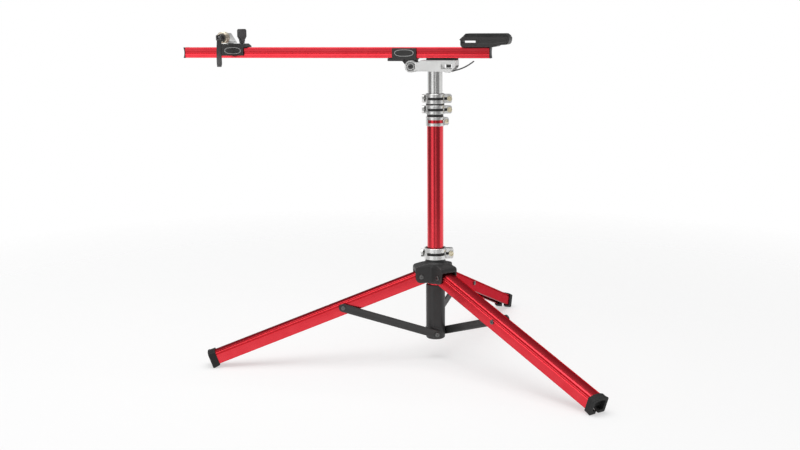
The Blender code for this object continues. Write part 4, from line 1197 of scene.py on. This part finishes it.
def light_band(tree, turn, middle, half, soft, value):
    """A soft-edged bright band of the studio round the stand, centred on an azimuth in turns."""
    away = maths(tree, "SUBTRACT", turn, middle)
    wrapped = maths(tree, "WRAP", away, -0.5, 0.5)
    gap = maths(tree, "ABSOLUTE", wrapped)
    inputs = {"Value": gap, "From Min": half - soft, "From Max": half + soft, "To Min": value, "To Max": 0.0}
    return add(tree, "ShaderNodeMapRange", inputs, interpolation_type="SMOOTHSTEP").outputs["Result"]


def band_set(tree, turn, bands):
    """The brightest of several bands at each azimuth."""
    total = None
    for degrees, half, value in bands:
        band = light_band(tree, turn, (CAMERA_AZIMUTH + degrees) / 360, half / 360, 4 / 360, value)
        total = band if total is None else maths(tree, "MAXIMUM", total, band)
    return total


# Each light band's azimuth in degrees from the direction of the camera, its half width and its brightness.
FRONT_BANDS = ((-43.5, 17.5, 1.0), (5, 6, 0.85))
BACK_BANDS = ((122, 56, 1.15), (-160, 42, 1.15))
# How each side's bands change with height: two factors and the two heights between which they change.
FRONT_SHADES = ((1.3, 0.85, -0.16, -0.06), (2.6, 1.0, -0.3, -0.22))
BACK_SHADES = ((1.0, 0.48, -0.1, -0.06), (1.0, 0.5, 0.03, 0.12))
DIMMEST = 0.22
OVERHEAD = 1.25


def make_light():
    """A soft studio: light panels with darker gaps between them and bright overhead, and a lamp above."""
    world = bpy.data.worlds.new("studio")
    bpy.context.scene.world = world
    world.use_nodes = True
    tree = world.node_tree
    way = add(tree, "ShaderNodeTexCoord").outputs["Generated"]
    parts = add(tree, "ShaderNodeSeparateXYZ", {"Vector": way})
    rise = parts.outputs["Z"]
    angle = maths(tree, "ARCTAN2", parts.outputs["Y"], parts.outputs["X"])
    turn = maths(tree, "DIVIDE", angle, 2 * pi)
    sides = []
    for bands, shades in ((FRONT_BANDS, FRONT_SHADES), (BACK_BANDS, BACK_SHADES)):
        side = band_set(tree, turn, bands)
        for shade in shades:
            side = maths(tree, "MULTIPLY", side, ranged(tree, rise, *shade))
        sides.append(side)
    lifted = maths(tree, "MAXIMUM", maths(tree, "MAXIMUM", *sides), DIMMEST)
    above = ranged(tree, rise, 0.0, 1.0, 0.88, 0.94)
    sky = mixed(tree, above, lifted, OVERHEAD, "FLOAT")
    seen = add(tree, "ShaderNodeLightPath").outputs["Is Camera Ray"]
    strength = mixed(tree, seen, sky, 1.0, "FLOAT")
    feed(tree, tree.nodes["Background"], {"Strength": strength, "Color": (1, 1, 1, 1)})

    lamp = bpy.data.lights.new("overhead panel", "AREA")
    lamp.shape = "RECTANGLE"
    lamp.size = 2.6
    lamp.size_y = 2.2
    lamp.energy = 34
    panel = bpy.data.objects.new("overhead panel", lamp)
    bpy.context.scene.collection.objects.link(panel)
    panel.location = (-0.3, -0.4, 2.4)


def make_camera():
    """A 52.8 mm lens at 2.7 m, looking a little down."""
    data = bpy.data.cameras.new("camera")
    data.lens = 52.8
    data.sensor_width = 36.0
    camera = bpy.data.objects.new("camera", data)
    bpy.context.scene.collection.objects.link(camera)
    aim = turned_by(radians(15)) @ turned_by(radians(79.9), "X")
    camera.matrix_world = Matrix.Translation(CAMERA_PLACE) @ aim @ turned_by(radians(-0.44))
    bpy.context.scene.camera = camera


bpy.context.scene.view_settings.view_transform = "Standard"
LOOKS = make_looks()
make_camera()
make_floor()
make_light()
dress_tubes()
dress_clamp("yoke", YOKE_SLEEVE + GAP, 0.026, 0.2385, 0.2654, 0.0066, 0.0165)
dress_clamp("rotation", 0.0194, 0.0223, 0.5791, 0.5995, 0.0062, 0.0165)
dress_clamp("height", 0.0194, 0.0223, 0.6031, 0.6258, 0.0062, 0.017)
dress_tube_collar()
dress_legs()
dress_head()
dress_beam()
dress_carriage()
